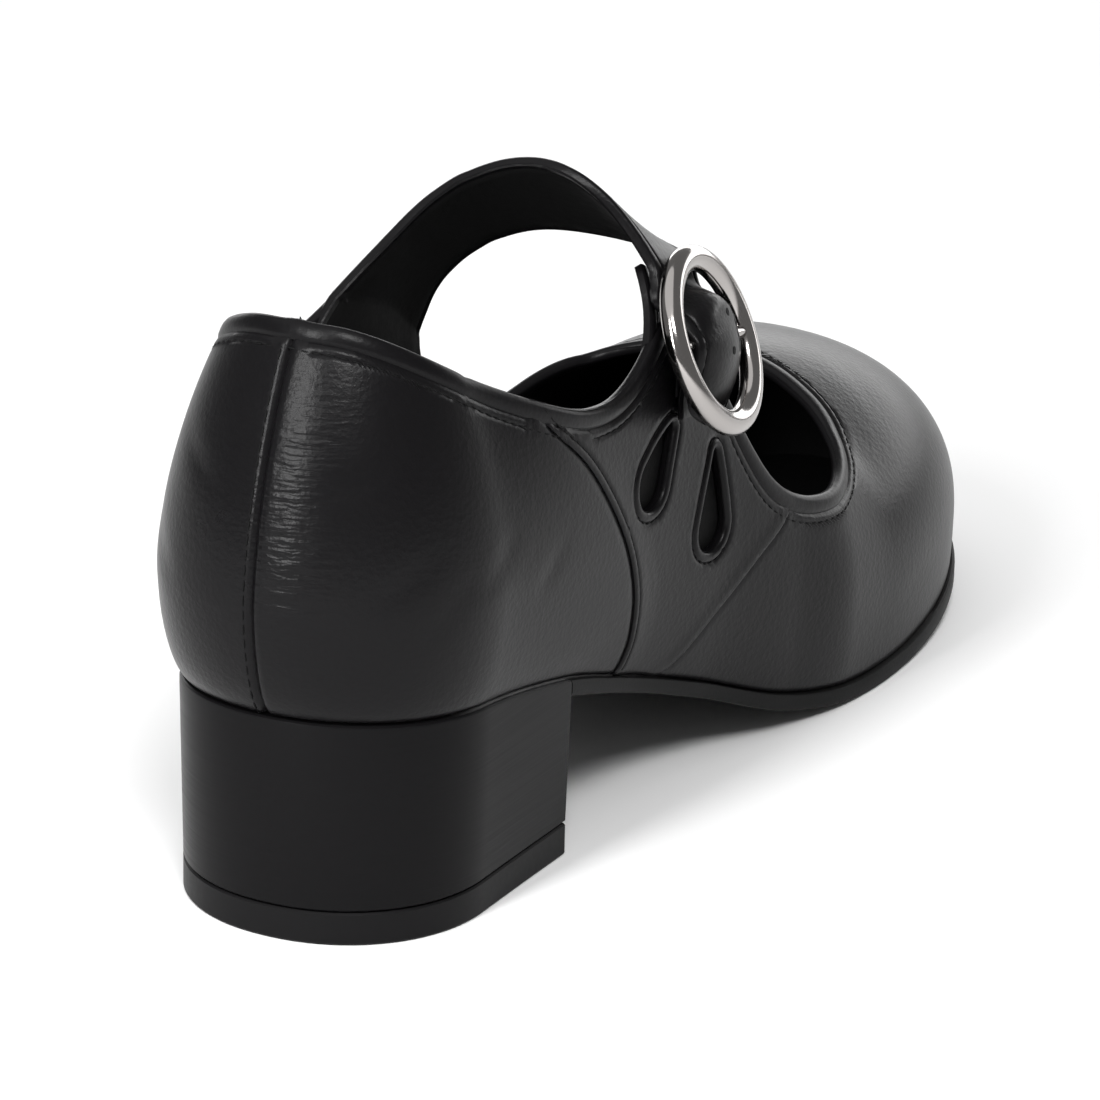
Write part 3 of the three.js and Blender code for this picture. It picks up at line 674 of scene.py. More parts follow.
# ----------------------------------------
# Waist panels: they join quarters and vamp on each side and are pierced by two teardrops. The
# outer one ends in the tab that holds the buckle; the inner one runs on into the strap.
# ----------------------------------------
LAP = [(0, 0.02), (0.25, 0.2), (0.6, 0.3), (1.15, 0.3), (1.45, 0.1), (1.75, 0.27), (2.6, 0.24),
       (5, 0.1), (8, 0)]
FINE_LAP = [(0, -0.1), (0.2, 0.08), (0.6, 0.16), (1.6, 0.14), (3.5, 0)]
AROUND_DROP = [(1.7, -0.6), (2.05, -0.36), (2.4, -0.08), (3.0, 0.05), (4.2, 0)]
DROP_TIP_RADIUS = 0.9


def teardrop(drop, side):
    """The closed outline of a cut-out: two round ends, large and small, joined by straight sides."""
    centre, tip = np.array([drop["y"], drop["z"]]), np.array([drop["tip_y"], drop["tip_z"]])
    way = unit(tip - centre)
    tip = tip - way * DROP_TIP_RADIUS
    heading = math.atan2(way[1], way[0])
    spread = math.acos((drop["radius"] - DROP_TIP_RADIUS) / np.linalg.norm(tip - centre))
    big = heading + np.linspace(spread, 2 * math.pi - spread, 40)
    small = heading + np.linspace(-spread, spread, 9)
    outline = np.vstack([
        centre + drop["radius"] * np.stack([np.cos(big), np.sin(big)], -1),
        tip + DROP_TIP_RADIUS * np.stack([np.cos(small), np.sin(small)], -1)])
    outline = np.vstack([outline, outline[:1]])
    laid = from_side(outline[:, 0], outline[:, 1], side)
    return spaced(laid, 0.7, on_last(laid[:, 0], laid[:, 1]))


drops = {side: [teardrop(drop, side) for drop in TEARDROPS] for side in (LAT, MED)}

tab_end = np.vstack([throat[:1], topline[:1]])
tab_end = spaced(tab_end, LINE_STEP, on_last(*tab_end.T))
panel("waist_lateral", [
    (feather(quarter_seam_lat[-1, 0], vamp_seam_lat[-1, 0]), []),
    (vamp_seam_lat[::-1], FINE_LAP),
    (between_points(throat, vamp_seam_lat[0], throat[0]), UNDER_BAND),
    (tab_end, []),
    (between_points(topline, topline[0], quarter_seam_lat[0]), UNDER_BAND),
    (quarter_seam_lat, LAP),
], upper_leather, holes=[(drop[::-1], AROUND_DROP) for drop in drops[LAT]], step=0.9)

root = np.vstack([topline[-1:], throat[-1:] - WHOLE_TURN])
root = spaced(root, LINE_STEP, on_last(*root.T))
panel("waist_medial", [
    (feather(vamp_seam_med[-1, 0] - 6, quarter_seam_med[-1, 0]), []),
    (quarter_seam_med[::-1], LAP),
    (between_points(topline, quarter_seam_med[0], topline[-1]), UNDER_BAND),
    (root, []),
    (between_points(throat, throat[-1], vamp_seam_med[0]) - WHOLE_TURN, UNDER_BAND),
    (vamp_seam_med - WHOLE_TURN, FINE_LAP),
], upper_leather, holes=[(drop, AROUND_DROP) for drop in drops[MED]], step=0.9)

# ----------------------------------------
# Edge bands: the leather folded over at the topline, the throat and the teardrops, pressed into
# a rounded rim and stitched down.
# ----------------------------------------
TOP_RIM = [(3.75, -0.5), (3.5, -0.36), (3.2, -0.05), (2.7, 0.16), (1.9, 0.26), (1.1, 0.24), (0.5, 0.06),
           (0.15, -0.3), (0.0, -0.75), (-0.06, -1.15), (0.0, -1.6), (0.2, -1.95), (0.7, -2.2), (3.0, -2.3)]
DROP_RIM = [(2.1, -0.45), (1.9, -0.26), (1.65, 0.02), (1.2, 0.2), (0.7, 0.18), (0.3, 0.0), (0.06, -0.35),
            (0.0, -0.8), (0.0, -1.5), (0.3, -2.1), (1.2, -2.3)]
STRAP_REAR = [(24, 59), (31, 66.5), (40, 74.5), (50, 80.5), (62, 84.8), (75, 87), (90, 87.8), (102, 88)]
STRAP_FRONT = [(24, 97.5), (31, 96), (40, 96), (50, 97.5), (62, 99.8), (75, 101.4), (90, 102.8), (102, 104)]
RUN_ON = 7.0
SUNK_DEPTH = 1.1
edge_leather = leather("edge_leather", (0.0045, 0.0042, 0.0047), 0.33, 0.35, gloss=0.12)


def strip(name, line, profile, material, closed=False, inward=1, sink=0.0):
    """A band along a line on the last, from a profile of (distance into the leather, height).
    Where sink grows from 0 to 1 the band narrows into the thickness of the leather."""
    rows = [lifted(*beside(line, d, inward).T, mix(np.full(len(line), h), -SUNK_DEPTH, sink))
            for d, h in profile]
    points = np.stack(rows, 1)
    along, across = points.shape[:2]
    faces = []
    for i in range(along if closed else along - 1):
        j = (i + 1) % along
        for k in range(across - 1):
            quad = (i * across + k, j * across + k, j * across + k + 1, i * across + k + 1)
            faces.append(quad if inward < 0 else quad[::-1])
    return piece(name, points.reshape(-1, 3), faces, material, "upper", sharp=60.0)


def run_on(line, edge_y):
    """The line carried on a little way along the strap's edge, and how far it sinks there."""
    turn = np.linspace(31.6, 37, 8)
    more = np.stack([-place_at(edge_y(turn)), mix(WIDE_SHARE, 1, turn / 90)], -1)
    more[:, 0] += 6 * np.round((line[-1, 0] - more[0, 0]) / 6)
    whole = joined(line, more)
    left = len(whole) - 1 - np.arange(len(whole))
    return whole, np.clip(1 - left * LINE_STEP / RUN_ON, 0, 1)


topline_long, topline_sink = run_on(topline, smooth(STRAP_REAR))
throat_long, throat_sink = run_on(throat, smooth(STRAP_FRONT))
strip("topline_band", topline_long, TOP_RIM, edge_leather, sink=topline_sink)
strip("throat_band", throat_long, TOP_RIM, edge_leather, inward=-1, sink=throat_sink)
for side, side_name in ((LAT, "lateral"), (MED, "medial")):
    for drop, place_name in zip(drops[side], ("rear", "front")):
        strip("teardrop_rim_" + side_name + "_" + place_name, drop[:-1], DROP_RIM, edge_leather,
              closed=True, inward=-1 if side == LAT else 1)

# ----------------------------------------
# Lining: thin black leather on the inside of the upper, from the feather to under the bands. It
# runs on unbroken behind the teardrops.
# ----------------------------------------
LINING_ROWS, THROAT_MIDDLE_AT = 44, 130
lining_leather = leather("lining_leather", (0.0030, 0.0030, 0.0031), 0.75, 0.6, 0.0016, gloss=0.14)


def lining_half(name, edge):
    """One side of the lining: columns round the last, from the feather up to the cut edge."""
    edge = edge[np.argsort(edge[:, 0])]
    q = np.linspace(edge[0, 0], edge[-1, 0], int(abs(edge[-1, 0] - edge[0, 0]) * 70))
    high = np.interp(q, edge[:, 0], edge[:, 1])
    share = high[:, None] * np.linspace(0, 1, LINING_ROWS)[None]
    turn = np.repeat(q[:, None], LINING_ROWS, 1)
    points = lifted(turn.ravel(), share.ravel(), np.full(share.size, -WALL))
    faces = [(i * LINING_ROWS + k, i * LINING_ROWS + k + 1, (i + 1) * LINING_ROWS + k + 1,
              (i + 1) * LINING_ROWS + k) for i in range(len(q) - 1) for k in range(LINING_ROWS - 1)]
    return piece(name, points, faces, lining_leather, "upper", sharp=60.0)


def below_band(line, start, end):
    """The cut edge of the lining under the band along a stretch of a line."""
    return beside(between_points(line, start, end), WALL, -1)


heel_top, throat_middle = (0, BACK_TOP_SHARE), (3.0, throat[THROAT_MIDDLE_AT, 1])
top_edge_lat = np.vstack([below_band(topline, heel_top, topline[0])[:-4],
                          below_band(throat, throat[0], throat_middle)[4:]])
top_edge_med = np.vstack([below_band(throat, throat_middle, throat[-1])[:-4],
                          below_band(topline, topline[-1], heel_top)[4:] + WHOLE_TURN])
lining_half("lining_lateral", top_edge_lat)
lining_half("lining_medial", top_edge_med)

# ----------------------------------------
# Guard tab: a stitched leather tab that stands up behind the buckle and keeps it off the foot.
# ----------------------------------------
GUARD_TAB = [(77, 79), (80, 82.5), (83.4, 86.2), (86.6, 90), (89.2, 94), (91.3, 97.6), (93.3, 99.6),
             (96, 99.6), (101, 96.6), (106.5, 93), (109.3, 90), (110.6, 86), (111.5, 81), (112, 77)]
TAB_EDGE = [(0, -0.5), (0.3, -0.14), (0.7, 0.06), (1.5, 0.12), (2.1, 0.06), (2.4, -0.2), (2.7, 0.04),
            (3.6, 0.0)]
guard_outline = side_line(GUARD_TAB, LAT, 0.6)
guard_foot = np.vstack([guard_outline[:1], guard_outline[-1:]])
guard_foot = spaced(guard_foot, LINE_STEP, on_last(*guard_foot.T))
panel("guard_tab", [(guard_foot, []), (guard_outline[::-1], TAB_EDGE)], edge_leather,
      step=0.8, lift=-0.55, depth=1.7, closed=True)

# ----------------------------------------
# Buckle: a polished ring of round section with a bar across its middle, cast in one.
# ----------------------------------------
RING_RADIUS, RING_HALF_WIDTH, RING_HALF_DEPTH, BAR_RADIUS = 15.2, 2.4, 2.1, 1.3
RING_LEAN, RING_TURN, RING_SLANT = math.radians(22.6), math.radians(6.7), math.radians(10.6)


def turned(x, z):
    return Vector((x * math.cos(RING_TURN), x * math.sin(RING_TURN), z))


out_axis = turned(math.cos(RING_LEAN), math.sin(RING_LEAN))
steepest = turned(math.sin(RING_LEAN), -math.cos(RING_LEAN))
down_axis = Matrix.Rotation(-RING_SLANT, 3, out_axis) @ steepest
ring_out, ring_down = np.array(out_axis), np.array(down_axis)
ring_along = np.cross(ring_out, ring_down)


def at_ring(down, out, along):
    down, out, along = (np.asarray(v, float)[..., None] for v in (down, out, along))
    return RING_CENTRE + down * ring_down + out * ring_out + along * ring_along


def tube(centres, across, outwards, half_width, half_depth, sides, closed):
    """A tube of oval section round the given centres."""
    turn = np.linspace(0, 2 * math.pi, sides, endpoint=False)
    points = (centres[:, None] + across[:, None] * (half_width * np.cos(turn))[None, :, None]
              + outwards[:, None] * (half_depth * np.sin(turn))[None, :, None])
    count = len(centres)
    faces = []
    for i in range(count if closed else count - 1):
        here, there = i * sides, (i + 1) % count * sides
        for k in range(sides):
            beyond = (k + 1) % sides
            faces.append((here + k, here + beyond, there + beyond, there + k))
    if not closed:
        faces += [tuple(range(sides))[::-1], tuple((count - 1) * sides + k for k in range(sides))]
    return points.reshape(-1, 3), faces


metal, metal_start, metal_shader, metal_place = surface("polished_metal", (0.40, 0.380, 0.368), 0.12, 1.0)
smear = metal_start.node("ShaderNodeTexNoise", Vector=metal_place, Scale=160.0, Detail=3.0)
metal_start.feed(metal_shader.inputs["Roughness"], 0.07 + smear * 0.12)

round_turn = np.linspace(0, 2 * math.pi, 144, endpoint=False)
spoke = np.cos(round_turn)[:, None] * ring_along + np.sin(round_turn)[:, None] * ring_down
ring_points, ring_faces = tube(RING_CENTRE + RING_RADIUS * spoke, spoke, np.tile(ring_out, (144, 1)),
                               RING_HALF_WIDTH, RING_HALF_DEPTH, 28, True)
bar_at = np.linspace(-RING_RADIUS, RING_RADIUS, 9)
bar_points, bar_faces = tube(at_ring(0 * bar_at, 0 * bar_at, bar_at), np.tile(ring_down, (9, 1)),
                             np.tile(ring_out, (9, 1)), BAR_RADIUS, BAR_RADIUS, 20, False)
piece("buckle_ring_polished", np.vstack([ring_points, bar_points]),
      ring_faces + [tuple(k + len(ring_points) for k in f) for f in bar_faces],
      metal, "buckle_ring")

# ----------------------------------------
# Ribbons of leather: the strap and the tab round the bar are swept from rows across their width.
# ----------------------------------------
SPREAD = np.linspace(0, 1, 5)
EDGE_BREAK = 0.35


def across_weights(share):
    """How the five points across a row add up to a smooth point at a share of the width."""
    share = np.asarray(share, float)
    weights = np.ones(share.shape + (5,))
    for i, a in enumerate(SPREAD):
        for j, b in enumerate(SPREAD):
            if i != j:
                weights[..., i] *= (share - b) / (a - b)
    return weights


def dense_rows(rows, step):
    """Rows added between the given ones, evenly along the ribbon."""
    flat = np.asarray(rows, float).reshape(len(rows), -1)
    ends = np.vstack([2 * flat[0] - flat[1], flat, 2 * flat[-1] - flat[-2]])
    fine = []
    for k in range(len(flat) - 1):
        a, b, c, d = ends[k:k + 4]
        t = np.linspace(0, 1, 13)[:-1, None]
        fine.append(0.5 * (2 * b + (c - a) * t + (2 * a - 5 * b + 4 * c - d) * t ** 2
                           + (3 * b - a - 3 * c + d) * t ** 3))
    fine = np.vstack(fine + [flat[-1:]])
    return spaced(fine, step, fine.reshape(len(fine), -1, 3)[:, 2]).reshape(-1, 5, 3)


def ribbon(rows, edge, thickness, middle_steps=10):
    """Points of a ribbon's skin, row by row: its outer face with the given edge profile, then its
    inner face. Also the base points and normals that stitches and linings are set out from."""
    width = np.linalg.norm(np.diff(rows, axis=1), axis=2).sum(1)
    reach = np.array([d for d, _ in edge])
    rise = np.array([h for _, h in edge])
    middle = np.linspace(0, 1, middle_steps + 2)[1:-1]
    loop = []
    for wide in width:
        near = np.minimum(reach, wide * 0.48) / wide
        share = np.concatenate([near, mix(near[-1], 1 - near[-1], middle), 1 - near[::-1]])
        lift = np.concatenate([rise, np.full(middle_steps, rise[-1]), rise[::-1]])
        loop.append((share, lift))
    share = np.array([s for s, _ in loop])
    lift = np.array([l for _, l in loop])
    base = np.einsum("rkf,rfc->rkc", across_weights(share), rows)
    ahead = np.gradient(base, axis=0)
    sideways = np.gradient(base, axis=1)
    normal = unit(np.cross(ahead, sideways))
    outer = base + normal * lift[..., None]
    near_edge = np.minimum(share, 1 - share) * width[:, None] < EDGE_BREAK
    inner_lift = np.where(near_edge, -thickness + EDGE_BREAK, -thickness)
    inner = (base + normal * inner_lift[..., None])[:, ::-1]
    return np.concatenate([outer, inner], 1), base, normal, share


def ribbon_faces(rows, around):
    faces = [(i * around + k, i * around + (k + 1) % around, (i + 1) * around + (k + 1) % around,
              (i + 1) * around + k) for i in range(rows - 1) for k in range(around)]
    half = around // 2
    for first in (0, (rows - 1) * around):
        for k in range(half - 1):
            quad = (first + k, first + k + 1, first + around - 2 - k, first + around - 1 - k)
            faces.append(quad[::-1] if first == 0 else quad)
    return [face[::-1] for face in faces]


def ribbon_piece(name, skin, material, node, sharp=50.0):
    return piece(name, skin.reshape(-1, 3), ribbon_faces(*skin.shape[:2]), material, node, sharp)


# ----------------------------------------
# Strap: calf outside and black lining inside, stitched at both edges. It grows out of the inner
# waist panel, crosses the instep and goes under the ring, over the bar and under the ring again.
# ----------------------------------------
STRAP_WIDTH, STRAP_THICKNESS = 19.0, 2.0
STRAP_LIFT = [(24, -1.5), (28, -0.7), (31, 0), (50, 0), (75, 0), (90, 0.8), (102, 2.6)]
TURN_IN = [  # the row's ends: down, out, along
    ((-30, -4.2, -11.4), (-20, -6.6, 7.6)),
    ((-23, -2.8, -9.2), (-18, -3.4, 9)),
]
STRAP_FROM, STRAP_TAIL, TAIL_ROUND_FROM, TAIL_TIP = -15.5, 14.2, 4.5, 0.3
UNDER_RING, OVER_BAR, SAG = -RING_HALF_DEPTH - 0.3, 3.7, 1.6
ENTRY_TUCK, ENTRY_LENGTH = 1.8, 7.0
CLIMB_LENGTH, FALL_POWER, STRAP_OFFSET = 6.5, 1.8, -1.4
EASED_FROM, EASED_TO = 11, 21  # the rows where the strap turns in to the ring

rear_y, front_y, strap_lift = smooth(STRAP_REAR), smooth(STRAP_FRONT), smooth(STRAP_LIFT)
strap_rows = []
for turn in [24, 27, 29.5, *np.linspace(31, 102, 16)]:
    side = LAT if turn > 90 else MED
    share = mix(WIDE_SHARE, 1, (180 - turn if turn > 90 else turn) / 90)
    y = mix(rear_y(turn), front_y(turn), SPREAD)
    strap_rows.append(lifted(place_at(y) * side, np.full(5, share), np.full(5, strap_lift(turn))))
for rear, front_end in TURN_IN:
    down, out, along = (mix(a, b, SPREAD) for a, b in zip(rear, front_end))
    strap_rows.append(at_ring(down, out, along))
for down in np.linspace(STRAP_FROM, STRAP_TAIL, 19):
    tail = max(0.0, (down - TAIL_ROUND_FROM) / (STRAP_TAIL + TAIL_TIP - TAIL_ROUND_FROM))
    half = STRAP_WIDTH / 2 * math.sqrt(1 - tail * tail)
    tuck = ENTRY_TUCK * max(0.0, 1 - (down - STRAP_FROM) / ENTRY_LENGTH)
    along = mix(-half + tuck, half, SPREAD) + STRAP_OFFSET
    reach = np.sqrt((RING_RADIUS - RING_HALF_WIDTH - 0.3) ** 2 - along ** 2)
    climb = np.clip((down + reach) / CLIMB_LENGTH, 0, 1)
    fall = np.clip(down / reach, 0, 1)
    arch = climb * climb * (3 - 2 * climb) * (1 - fall ** FALL_POWER)
    peak = OVER_BAR - SAG * (2 * (along - STRAP_OFFSET) / STRAP_WIDTH) ** 2
    strap_rows.append(at_ring(np.full(5, down), mix(UNDER_RING, peak, arch), along))
for _ in range(4):
    held = [np.array(row) for row in strap_rows]
    for k in range(EASED_FROM, EASED_TO):
        strap_rows[k] = (held[k - 1] + 2 * held[k] + held[k + 1]) / 4
strap_base = dense_rows(strap_rows, 1.0)
STRAP_EDGE = [(0, -0.75), (0.12, -0.42), (0.4, -0.12), (0.8, 0.0), (1.4, 0.03), (1.9, -0.03), (2.15, -0.2),
              (2.4, -0.03), (3.0, 0.02), (4.0, 0.0)]
strap_points, strap_ground, strap_normal, strap_share = ribbon(strap_base, STRAP_EDGE, STRAP_THICKNESS)
ribbon_piece("strap", strap_points, upper_leather, "upper")

# The holes are not cut through the strap. Each is a matte black disc of lining leather standing a little
# proud of it: the lining's own colour, with the shade inside a hole painted in.
PUNCHED = [(-4.0, 2.6), (2.5, 1.6)]  # the holes near the tail: down, along
HOLE_RADIUS, HOLE_DEPTH, HOLE_PROUD, HOLE_SIDES = 0.75, 0.5, 0.06, 16
from_ring = strap_ground - RING_CENTRE
hole_points, hole_faces = [], []
for down, along in PUNCHED:
    away = np.hypot(from_ring @ ring_down - down, from_ring @ ring_along - along)
    spot = np.unravel_index(np.argmin(away), away.shape)
    facing = strap_normal[spot]
    across = unit(np.cross(facing, ring_down))
    ends = strap_ground[spot] + np.outer([-HOLE_DEPTH, HOLE_PROUD], facing)
    points, faces = tube(ends, np.tile(across, (2, 1)), np.tile(np.cross(facing, across), (2, 1)),
                         HOLE_RADIUS, HOLE_RADIUS, HOLE_SIDES, False)
    hole_faces += [tuple(k + 2 * HOLE_SIDES * len(hole_points) for k in face) for face in faces]
    hole_points.append(points)
piece("strap_holes_lining_and_painted_shade", np.vstack(hole_points), hole_faces, lining_leather, "upper")

# ----------------------------------------
# Buckle tab: the outer waist panel's end, folded round the bar and back onto itself.
# ----------------------------------------
TAB_PATH = [(12, -7.5), (8, -6.1), (4.5, -3.8), (2.5, -1.4), (1.8, 0.2), (1.25, 1.3), (0, 1.8),
            (-1.25, 1.3), (-1.8, 0), (-1.7, -1.9), (0.2, -3.9), (4, -5.4), (8, -6.9)]
TAB_WIDTH = 13.0
tab_rows = [at_ring(np.full(5, down), np.full(5, out), mix(-TAB_WIDTH / 2, TAB_WIDTH / 2, SPREAD))
            for down, out in TAB_PATH]
TAB_FOLD = [(0, -0.1), (0.15, 0.2), (0.5, 0.35), (1.5, 0.35)]
tab_points, _, _, _ = ribbon(dense_rows(tab_rows, 0.7), TAB_FOLD, 0.35, 4)
ribbon_piece("buckle_tab", tab_points, edge_leather, "buckle_loop", 60.0)

# ----------------------------------------
# Strap lining: thin matt leather glued to the inside of the strap, a little short of its edges.
# ----------------------------------------
LINING_SHORT = 0.03
lining_spread = across_weights(mix(LINING_SHORT, 1 - LINING_SHORT, SPREAD))
lining_rows = np.einsum("kf,rfc->rkc", lining_spread, strap_base[:-3])
LINING_EDGE = [(0, -1.9), (0.3, -1.85), (1.0, -1.85)]
lining_points, _, _, _ = ribbon(lining_rows, LINING_EDGE, STRAP_THICKNESS + 0.12)
ribbon_piece("strap_lining", lining_points, lining_leather, "upper")

# ----------------------------------------
# Bottom of the shoe: solids stacked in levels on the last's bottom outline.
# ----------------------------------------
BREAST_Y, PIECE_GAP = 58.2, 0.3
TOP_PIECE_THICKNESS, INSOLE_THICKNESS = 6.0, 2.2
TREAD_LINE = [(57, 30.6), (80, 23.6), (105, 14.7), (130, 4.8), (142, 1.9), (153, 0.35),
              (160, 0), (170, 0), (190, 1.1), (210, 3.4), (230, 6.6), (247, 10.2)]
tread_z = smooth(TREAD_LINE)


def bottom_line(places, side, margin):
    """Plan points (x, y) of the bottom outline on one side, moved out by a margin."""
    foot, _, top, _, _, _ = half_section(places * side)
    arm = foot - top
    return top + arm * (1 + margin / np.linalg.norm(arm, axis=1, keepdims=True))


def stacked(name, places, levels, material, node):
    """A solid from levels of (margin, height at y), bottom first. The places run from one end of
    the outline to the other and both sides are joined across."""
    rings = []
    for margin, height_at in levels:
        plan = np.vstack([bottom_line(places, LAT, margin), bottom_line(places[::-1], MED, margin)])
        rings.append(np.column_stack([plan, height_at(plan[:, 1])]))
    around, count = len(rings[0]), len(places)
    upwards = places[-1] < places[0]
    faces = []
    for level in range(len(rings) - 1):
        for k in range(around):
            a, b = level * around + k, level * around + (k + 1) % around
            faces.append((a, b, b + around, a + around))
    last_level = (len(rings) - 1) * around
    for k in range(count - 1):
        quad = (k, k + 1, around - 2 - k, around - 1 - k)
        faces.append(quad[::-1])
        faces.append(tuple(last_level + v for v in quad))
    return piece(name, np.vstack(rings), [f if not upwards else f[::-1] for f in faces],
                 material, node, sharp=30.0)


def level(z):
    return lambda y: np.full(np.shape(y), float(z))


def under_feather(gap):
    return lambda y: feather_z(y) - gap


breast = float(place_at(BREAST_Y))
toe_places = np.concatenate([np.linspace(float(place_at(BREAST_Y + PIECE_GAP)), 2, 60)[:-1],
                             np.linspace(2, 3, 60)])
heel_places = np.concatenate([np.linspace(0, 1, 50)[:-1], np.linspace(1, breast, 16)])

# ----------------------------------------
# Outsole: black moulded sole with a rounded edge; it ends in front of the heel breast.
# ----------------------------------------
sole_black, sole_start, sole_shader, sole_place = surface("sole_black", (0.0050, 0.0050, 0.0051), 0.5)
sole_shader.inputs["Specular IOR Level"].default_value = 0.09
sole_grain = sole_start.node("ShaderNodeTexNoise", Vector=sole_place, Scale=1500.0, Detail=3.0)
sole_start.feed(sole_shader.inputs["Normal"], sole_start.node(
    "ShaderNodeBump", Strength=0.35, Distance=0.0001, Height=sole_grain))
stacked("outsole_edge_rounded", toe_places, [
    (0.4, tread_z),
    (0.95, lambda y: tread_z(y) + 0.22),
    (1.2, lambda y: tread_z(y) + 0.7),
    (1.2, lambda y: feather_z(y) - PIECE_GAP - 0.75),
    (1.0, lambda y: feather_z(y) - PIECE_GAP - 0.22),
    (0.6, under_feather(PIECE_GAP)),
], sole_black, "outsole")

# ----------------------------------------
# Heel block: moulded and lacquered black, brushed level all round, tapering a little downwards.
# ----------------------------------------
heel_black, heel_start, heel_shader, heel_place = surface("heel_black", (0.0048, 0.0046, 0.0050), 0.34)
heel_shader.inputs["Specular IOR Level"].default_value = 0.08
brushed = heel_start.vector("MULTIPLY", heel_place, (30.0, 30.0, 1900.0))
brush = heel_start.node("ShaderNodeTexNoise", Vector=brushed, Scale=1.0, Detail=3.0, Roughness=0.6)
heel_start.feed(heel_shader.inputs["Roughness"], 0.24 + brush * 0.22)
heel_start.feed(heel_shader.inputs["Normal"], heel_start.node(
    "ShaderNodeBump", Strength=0.22, Distance=0.0001, Height=brush))
heel_foot = TOP_PIECE_THICKNESS + PIECE_GAP
stacked("heel_block_brushed", heel_places[::-1], [
    (0.2, level(heel_foot)),
    (0.5, level(heel_foot + 0.3)),
    (1.2, lambda y: feather_z(y) - PIECE_GAP - 0.8),
    (1.08, lambda y: feather_z(y) - PIECE_GAP - 0.3),
    (0.7, under_feather(PIECE_GAP)),
], heel_black, "heel_block")

# ----------------------------------------
# Top piece: the hard black rubber that the heel walks on, its upper edge broken so that it shows
# as a fine line under the block.
# ----------------------------------------
top_black, top_start, top_shader, top_place = surface("top_piece_black", (0.0060, 0.0058, 0.0062), 0.44)
top_shader.inputs["Specular IOR Level"].default_value = 0.1
top_grain = top_start.node("ShaderNodeTexNoise", Vector=top_place, Scale=900.0, Detail=2.0)
top_start.feed(top_shader.inputs["Roughness"], 0.38 + top_grain * 0.14)
stacked("top_piece_edged", heel_places[::-1], [
    (0.2, level(0.0)),
    (0.5, level(0.4)),
    (0.5, level(TOP_PIECE_THICKNESS - 0.3)),
    (0.15, level(TOP_PIECE_THICKNESS)),
], top_black, "top_piece")

# ----------------------------------------
# Insole with its sock: a board under the foot, covered with thin black leather.
# ----------------------------------------
INSOLE_MARGIN = -(WALL + PIECE_GAP)
all_places = np.concatenate([np.linspace(0, 1, 40)[:-1], np.linspace(1, 2, 80)[:-1],
                             np.linspace(2, 3, 50)])
stacked("insole_sock", all_places, [
    (INSOLE_MARGIN, under_feather(0.0)),
    (INSOLE_MARGIN, lambda y: feather_z(y) + INSOLE_THICKNESS - 0.5),
    (INSOLE_MARGIN - 0.5, lambda y: feather_z(y) + INSOLE_THICKNESS),
], lining_leather, "insole")

# ----------------------------------------
# Stitches: waxed black thread laid in the grooves, a lock stitch at an even pitch.
# ----------------------------------------
thread, thread_start, thread_shader, thread_place = surface("black_thread", (0.003, 0.003, 0.0031), 0.6)
twist = thread_start.node("ShaderNodeTexNoise", Vector=thread_place, Scale=5200.0, Detail=1.0)
thread_start.feed(thread_shader.inputs["Roughness"], 0.5 + twist * 0.25)
thread_shader.inputs["Specular IOR Level"].default_value = 0.12


def stitch_nodes():
    tree = bpy.data.node_groups.new("stitches", "GeometryNodeTree")
    tree.interface.new_socket("Geometry", in_out="INPUT", socket_type="NodeSocketGeometry")
    for name, value in (("Pitch", 0.0023), ("Length", 0.0017), ("Thickness", 0.00045)):
        tree.interface.new_socket(name, in_out="INPUT", socket_type="NodeSocketFloat").default_value = value
    tree.interface.new_socket("Geometry", in_out="OUTPUT", socket_type="NodeSocketGeometry")

    def add(kind, settings=None, **links):
        made = tree.nodes.new(kind)
        for key, value in (settings or {}).items():
            setattr(made, key, value)
        for key, value in links.items():
            socket = made.inputs[key.replace("_", " ")]
            if isinstance(value, bpy.types.NodeSocket):
                tree.links.new(value, socket)
            else:
                socket.default_value = value
        return made

    given = add("NodeGroupInput").outputs
    curve = add("GeometryNodeMeshToCurve", Mesh=given["Geometry"])
    spots = add("GeometryNodeCurveToPoints", {"mode": "LENGTH"}, Curve=curve.outputs[0],
                Length=given["Pitch"])
    up = add("GeometryNodeInputNamedAttribute", {"data_type": "FLOAT_VECTOR"}, Name="up")
    along = add("FunctionNodeAlignRotationToVector", {"axis": "X"}, Vector=spots.outputs["Tangent"])
    laid = add("FunctionNodeAlignRotationToVector", {"axis": "Z", "pivot_axis": "X"},
               Rotation=along.outputs[0], Vector=up.outputs[0])
    size = add("ShaderNodeCombineXYZ", X=given["Length"], Y=given["Thickness"], Z=given["Thickness"])
    grain = add("GeometryNodeMeshUVSphere", Segments=8, Rings=6, Radius=0.5)
    vary = add("FunctionNodeRandomValue", {"data_type": "FLOAT"}, Seed=7)
    vary.inputs[2].default_value, vary.inputs[3].default_value = 0.94, 1.06
    scale = add("ShaderNodeVectorMath", {"operation": "SCALE"}, Vector=size.outputs[0],
                Scale=vary.outputs[1])
    set_out = add("GeometryNodeInstanceOnPoints", Points=spots.outputs["Points"], Instance=grain.outputs[0],
                  Rotation=laid.outputs[0], Scale=scale.outputs[0])
    real = add("GeometryNodeRealizeInstances", Geometry=set_out.outputs[0])
    dyed = add("GeometryNodeSetMaterial", Geometry=real.outputs[0], Material=thread)
    done = add("NodeGroupOutput")
    tree.links.new(dyed.outputs[0], done.inputs[0])
    return tree


stitch_tree = stitch_nodes()
STRAP_GROOVE, NARROWEST_STRAP = 2.15, 6.0


